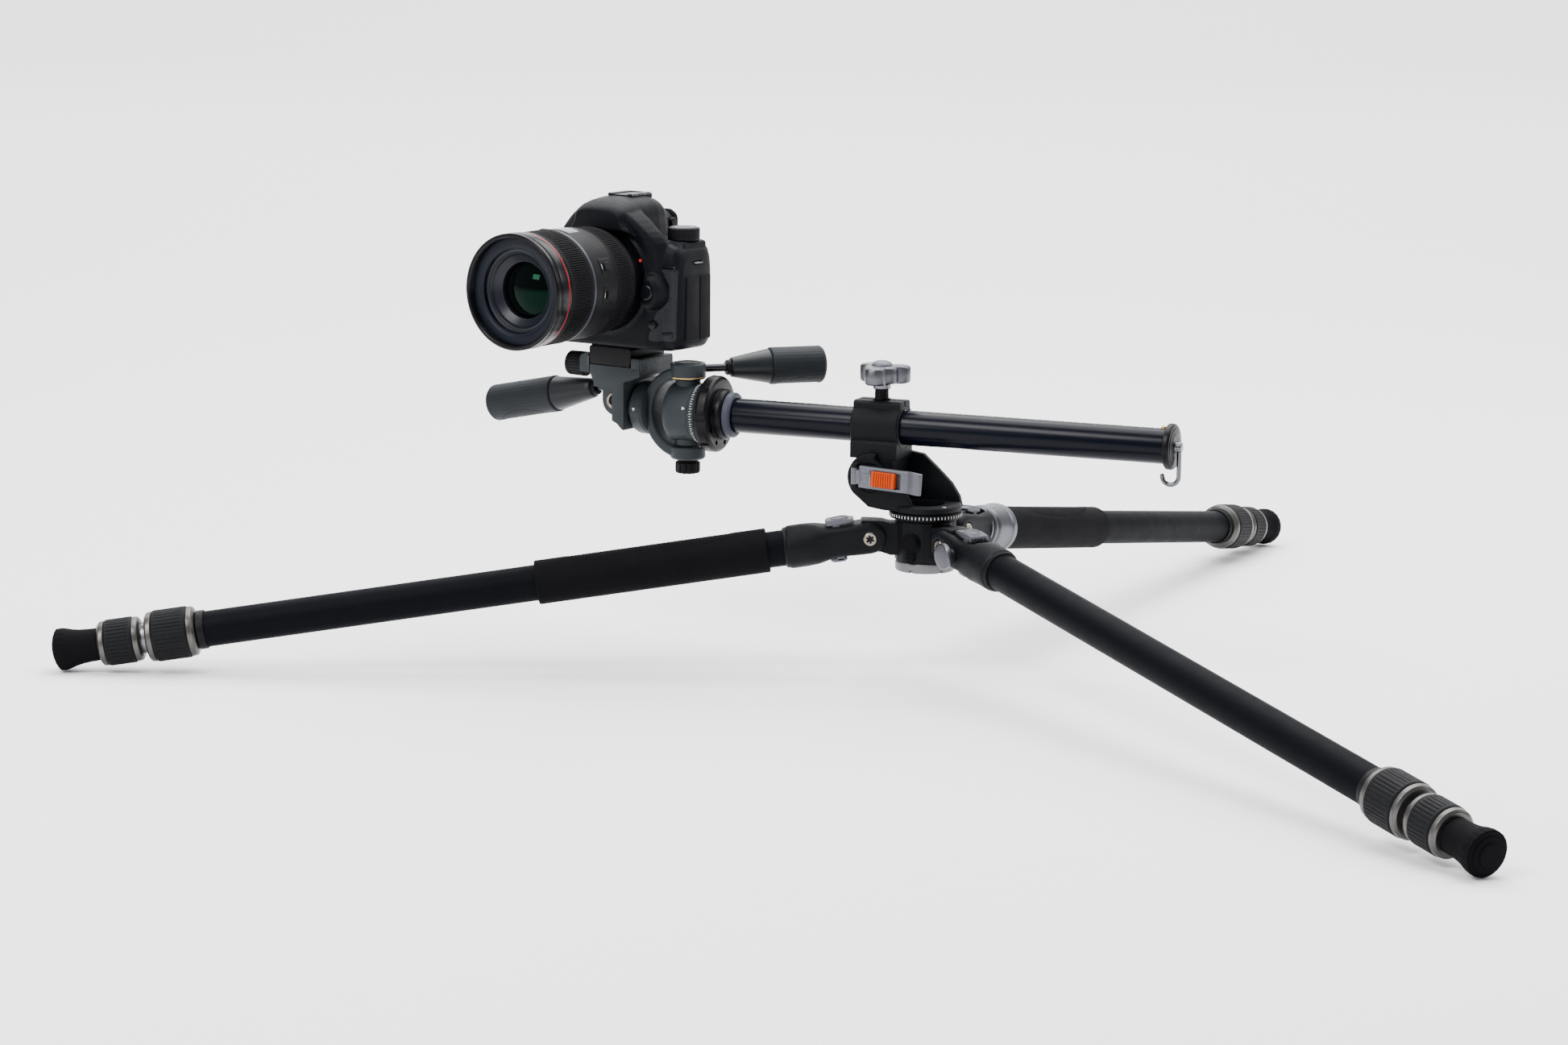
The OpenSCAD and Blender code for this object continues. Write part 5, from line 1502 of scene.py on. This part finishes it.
def eyepiece():
    cup = to_object("eyecup", prism([(-20, 22.5, 5), (-20, 43, 7), (-14, 47, 5), (14, 47, 5), (20, 43, 7),
            (20, 22.5, 5)], 26.8, 32.0, "Y", 3, 1.4), LENS)
    hole = prism([(-13, 28, 4), (-13, 40, 4), (13, 40, 4), (13, 28, 4)], 20, 40, "Y", 3, 0)
    cut(cup, LENS, hole)
    round_edges(cup, 0.6, 2, 50)
    piece(cup, "camera", GRIP_RUBBER, (), 40)
    on_camera("eyepiece_window", prism([(-13, 28, 4), (-13, 40, 4), (13, 40, 4), (13, 28, 4)], 27.0, 28.4,
            "Y", 3, 0.3), "lens_glass", SCREEN)
    knob = lathe([(20.8, 0), (20.8, 3.2), (21.4, 3.7), (23.2, 3.7, 0.3), (23.8, 3.2), (23.8, 0)], "X", 60,
            0.2, wave=fluted(0.18, 20, 1), step=0.8)
    on_camera("diopter_knob", moved(knob, shift(-1.0, 23.5, 38)), "knob_plastic", KNOB_BLACK)


def screen():
    on_camera("screen_bezel", prism([(-33, -34, 3), (33, -34, 3), (33, 15, 3), (-33, 15, 3)], 21.5, 25.6,
            "Y", 2, 0.9), "camera_shell", SHELL)
    on_camera("screen_glass", prism([(-30.5, -29, 1), (30.5, -29, 1), (30.5, 12.5, 1), (-30.5, 12.5, 1)],
            25.3, 26.1, "Y", 1, 0.25), "lens_glass", SCREEN)
    buttons = [moved(key_cap(2.9, 23.0, 25.0), shift(46, 0, 9 - 9.5 * k)) for k in range(5)]
    buttons += [moved(key_cap(2.4, 23.0, 25.2), shift(x, 0, z)) for x, z in ((-78, 20), (-69, 21),
            (-60, 21.5))]
    buttons.append(moved(key_cap(3.4, 22.2, 27.6), shift(-46, 0, 12)))
    on_camera("rear_buttons", merged(*buttons), "knob_plastic", SHELL_EDGE)
    select = lathe([(20.4, 0), (20.4, 6.6), (25.4, 6.4, 0.6), (25.9, 5.2), (25.7, 0)], "Y", 64, 0.3)
    on_camera("select_button", moved(select, shift(-58, 0, -14.5)), "knob_plastic", SHELL_EDGE)
    on_camera("power_switch", merged(prism([(-66, -45.5, 1.5), (-50, -45.5, 1.5), (-50, -40.5, 1.5),
            (-66, -40.5, 1.5)], 22.6, 23.8, "Y", 1, 0.3), prism([(-60, -44.2, 1), (-55, -44.2, 1),
            (-55, -41.6, 1), (-60, -41.6, 1)], 23.4, 25.2, "Y", 1, 0.4)), "knob_plastic", KNOB_BLACK)


def key_cap(radius, low, high):
    return lathe([(low, 0), (low, radius + 0.3), (low + 0.4, radius + 0.1), (high - 0.5, radius, 0.3),
            (high, radius - 0.6), (high - 0.1, 0)], "Y", 40, 0.2)


def top_deck():
    window = prism([(-79, -9, 2), (-42, -9, 2), (-41, 13, 2), (-79, 13, 2)], -0.6, 0.9, "Z", 1.5, 0.35)
    tilt = shift(-60, 0, 26.3) @ spin(-4.0, "Y") @ shift(60, 0, 0)
    on_camera("top_panel", moved(window, tilt), "lens_glass", SCREEN)
    bumps = []
    for k in range(4):
        cap = lathe([(23.5, 0), (23.5, 2.6), (27.3 + 0.1 * k, 2.4, 0.5), (27.9 + 0.1 * k, 1.6),
                (27.9 + 0.1 * k, 0)], "Z", 36, 0.3)
        bumps.append(moved(cap, shift(-75 + 9.2 * k, -13.2, -1.4 + 0.45 * k)))
    lamp = lathe([(24.0, 0), (24.0, 2.4), (26.6, 2.2, 0.5), (27.2, 1.5), (27.2, 0)], "Z", 36, 0.3)
    bumps.append(moved(lamp, shift(-37.5, -12, 0.8)))
    on_camera("top_buttons", merged(*bumps), "knob_plastic", KNOB_BLACK)


def dials():
    ribbed = fluted(0.42, 30, 1.2, 29.4, 36.8)
    mode = lathe([(28.35, 0), (28.35, 10.6), (29.0, 11.8), (36.9, 11.9), (37.6, 11.3, 0.3), (37.75, 10.4),
            (37.75, 0)], "Z", 240, 0.3, wave=ribbed, step=1.2)
    place = LENS @ shift(46.5, 2, 0)
    make("mode_dial_ribbed", mode, place, "mode_dial", KNOB_BLACK, ("mode_dial",), 45)
    make("mode_dial_disc", lathe([(37.6, 0), (37.6, 10.2), (38.0, 10.0, 0.2), (38.2, 9.4), (38.2, 8.7),
            (38.05, 8.5), (38.05, 0)], "Z", 96, 0.1), place, "mode_dial", DIAL_ALLOY)
    marks = [moved(block((5.6, -0.28, 38.0), (7.6 if k % 3 == 0 else 6.7, 0.28, 38.14), 0),
            spin(30 * k, "Z")) for k in range(12)]
    make("mode_dial_marks", merged(*marks), place, "mode_dial", WHITE_PAINT)
    notch = fluted(0.5, 16, 1.5, 0.9, 6.1)
    wheel = lathe([(0.3, 0), (0.3, 7.4), (0.9, 8.5), (6.1, 8.5), (6.7, 7.4), (6.7, 0)], "X", 160, 0.3,
            wave=notch, step=1.0)
    make("main_dial_ribbed", moved(wheel, shift(-71.5, -16, 22)), LENS, "main_dial",
            KNOB_BLACK, ("main_dial",), 45)
    rim = fluted(0.35, 40, 1.5, 23.6)
    wheel = lathe([(22.3, 7.1), (22.3, 17.4), (24.6, 17.5, 0.4), (25.6, 16.6, 0.4), (25.7, 13.0),
            (25.2, 11.5), (25.2, 7.1)], "Y", 240, 0.3, True, wave=rim, step=1.2)
    make("rear_dial_wheel", moved(wheel, shift(-58, 0, -14.5)), LENS, "rear_dial",
            KNOB_BLACK, ("rear_dial",), 45)
    top = lathe([(19.5, 0), (19.5, 2.0), (24.4, 2.0), (24.4, 4.1), (28.4, 4.1, 0.6), (28.95, 3.0, 0.6),
            (28.7, 0)], "Z", 64, 0.3)
    make("shutter_release", moved(top, shift(-68, -31, 0)), LENS, "shutter_button",
            SHELL_EDGE, ("shutter_button",))
    knob = lathe([(-37.8, 0), (-37.75, 4.6, 1.0), (-36.8, 5.8, 0.6), (-31, 5.95), (-31, 0)], "Y", 64, 0.3)
    make("lens_release_button", moved(knob, shift(41, 0, -7)), LENS, "lens_release",
            SHELL_EDGE, ("lens_release",))


# --- Lens. Distances run back from the filter ring, in the lens's own frame.

GLASS_Y = MOUNT_Y - 107.0
BARREL = LENS @ shift(0, GLASS_Y, 0)
ROUND = 192                 # sides of the lens's turned parts
RIBS = 144
RIB_SIDES = 6 * RIBS
on_front = on(BARREL, "lens_front")
on_barrel = on(BARREL, "camera")


def bands(count, start, end, depth, fill=0.45):
    """Lengthwise ribs on a ring: narrow grooves between flat-topped pads."""
    def wave(a, t):
        if not start < a < end:
            return 0
        return -depth if math.cos(t * count) > math.cos(math.pi * fill) else 0
    return wave


def lens_front():
    thread = [(0.9 + 0.4 * k, 38.25 + (0.25 if k % 2 else 0)) for k in range(11)]
    on_front("lens_front_bezel", lathe([(0.0, 39.2), (0.0, 41.0), (0.7, 41.75, 0.3), (3.6, 41.75, 0.3),
            (4.2, 41.2), (4.8, 41.2), (5.4, 41.75, 0.3), (13.0, 41.75, 0.3), (13.6, 41.3), (13.6, 30.1),
            (9.0, 30.1), (5.9, 38.2), (5.6, 38.6)] + thread[::-1], "Y", ROUND, 0.12, True), "lens_shell",
            LENS_GLOSS, ("lens_front",), 30)
    on_front("lens_red_ring", hoop(13.65, 14.65, 40.2, 41.55, "Y", ROUND, 0.2), "lens_shell", RED_RING)
    on_front("lens_front_collar", hoop(14.75, 16.7, 36.4, 41.4, "Y", ROUND, 0.25), "lens_shell", LENS_GLOSS)
    on_front("lens_name_ring", lathe([(5.2, 38.1), (5.6, 33.0), (6.4, 31.4), (6.4, 30.2), (9.2, 30.2),
            (9.2, 38.1)], "Y", ROUND, 0.15, True), "lens_shell", NAME_RING)
    on_front("lens_inner_cone", lathe([(9.3, 30.0), (10.0, 28.2, 0.4), (9.8, 27.2), (10.4, 26.6),
            (12.2, 25.4), (15.4, 21.2), (15.8, 20.4), (19.5, 20.4), (19.5, 30.0)], "Y", ROUND, 0.25, True),
            "lens_shell", CONE_GREY)
    on_front("lens_sliding_sleeve", lathe([(16.8, 36.0), (60.0, 36.0), (60.0, 30.2), (9.4, 30.2),
            (9.4, 34.0), (16.8, 34.0)], "Y", 128, 0.2, True), "lens_shell", LENS_SATIN)
    curve = 44.0
    dome = [(21.5, 0), (21.5, 20.2), (18.9, 20.2)]
    dome += [(14.0 + curve - math.sqrt(curve ** 2 - r * r), r) for r in (18, 15, 12.5, 10, 7.5, 5, 2.5, 0)]
    # The front element is an opaque dome. Its black colour is painted shade for the inside of the lens.
    on_front("front_element", lathe(dome, "Y", 128, 0), "lens_glass", SHADED_COATED_GLASS, ("front_glass",), 40)


def lens_zoom_ring():
    make("zoom_ring_ribbed", lathe([(17.2, 38.05), (17.2, 40.5), (17.8, 41.15), (19.0, 41.2), (41.9, 41.2),
            (43.1, 41.15), (43.7, 40.5), (43.7, 38.05)], "Y", RIB_SIDES, 0.2, True,
            wave=bands(RIBS, 19.2, 41.7, 0.75, 0.36), step=3.0), BARREL, "zoom_ring",
            RING_RUBBER, ("zoom_ring",), 45)


def lens_focus_ring():
    make("focus_ring_ribbed", lathe([(72.3, 35.7), (72.3, 38.9), (72.8, 39.5), (73.6, 39.6), (90.6, 39.6),
            (91.6, 39.3), (92, 38.7), (92, 35.7)], "Y", RIB_SIDES, 0.2, True,
            wave=bands(RIBS, 74.4, 89.8, 0.6, 0.36), step=3.0), BARREL, "focus_ring",
            RING_RUBBER, ("focus_ring",), 45)


def lens_barrel():
    on_barrel("lens_barrel_shell", lathe([(17.6, 36.5), (17.6, 37.6), (44.0, 37.6), (44.0, 39.6),
            (44.7, 40.35), (71.4, 40.4), (71.9, 39.9), (71.9, 35.3), (92.3, 35.3), (92.3, 37.4),
            (92.9, 38.0), (96.5, 38.0, 0.6), (99.5, 35.6), (106.2, 34.8), (106.9, 34.2), (106.9, 24.0),
            (111.9, 23.2), (111.9, 17.1), (66, 17.1), (66, 36.5)], "Y", ROUND, 0.25, True), "lens_shell",
            LENS_SATIN, ("lens_barrel",), 30)
    # A ring on the barrel's step, coloured pale grey as a painted highlight along the step's edge.
    on_barrel("lens_trim_ring", lathe([(44.3, 39.9), (44.3, 40.5), (45.3, 40.75), (46.0, 40.75),
            (46.3, 40.3), (46.3, 39.9)], "Y", ROUND, 0.1, True), "lens_shell", LEDGE_HIGHLIGHT_GREY)
    on_barrel("distance_window", curved_plate(50.5, 63.5, 40.85, 90 - 17, 90 + 17, 1.0), "lens_glass",
            WINDOW_GREY)
    on_barrel("distance_window_frame", curved_plate(49.3, 64.7, 40.62, 90 - 19.5, 90 + 19.5, 1.0),
            "lens_shell", LENS_GLOSS)
    plates, knobs, marks = [], [], []
    for low, high in ((14, 32), (-16, 3)):
        plates.append(curved_plate(54.5, 68.5, 40.85, low, high, 0.8))
        knobs.append(curved_plate(58.5, 64.5, 42.1, (low + high) / 2 - 4, (low + high) / 2 + 4, 1.6))
        marks.append(curved_plate(56.0, 56.7, 40.98, (low + high) / 2 - 3, (low + high) / 2 + 3, 0.3))
    on_barrel("lens_switch_plates", merged(*plates), "lens_shell", LENS_SATIN)
    on_barrel("lens_switches", merged(*knobs), "lens_shell", KNOB_BLACK)
    on_barrel("lens_switch_marks", merged(*marks), "lens_shell", WHITE_PAINT)


def curved_plate(low, high, radius, start, end, thick):
    """A plate bent round the lens: angles are measured from X towards Z."""
    steps, chamfer, end_inset = 10, 0.3, 0.35
    sections = []
    for k in range(steps + 1):
        t = math.radians(start + (end - start) * k / steps)
        edge = end_inset if k in (0, steps) else 0
        corners = [(low + edge, radius - thick), (high - edge, radius - thick),
                (high - edge, radius - chamfer - edge), (high - chamfer - edge, radius - edge),
                (low + chamfer + edge, radius - edge), (low + edge, radius - chamfer - edge)]
        sections.append([(r * math.cos(t), y, r * math.sin(t)) for y, r in corners])
    return loft(sections)


def mirror_and_sensor():
    place = LENS @ shift(0, 6, 15) @ spin(-45, "X")
    make("reflex_mirror_glass", block((-15, -1.2, -29), (15, -0.3, 0), 0.2), place, "mirror",
            MIRROR, ("reflex_mirror",))
    make("reflex_mirror_frame", block((-14.4, -0.32, -28.4), (14.4, 0, -0.4), 0.1), place, "mirror",
            KNOB_BLACK)
    on_camera("sensor_package", block((-18, 11.2, -12), (18, 12.8, 12), 0.2), "sensor_glass", SENSOR,
            ("image_sensor",))


def camera():
    camera_shell()
    camera_trim()
    hot_shoe()
    eyepiece()
    screen()
    top_deck()
    dials()
    lens_front()
    lens_zoom_ring()
    lens_focus_ring()
    lens_barrel()
    mirror_and_sensor()


# --- The scene

view_camera()
floor()
daylight()
tripod()
camera()
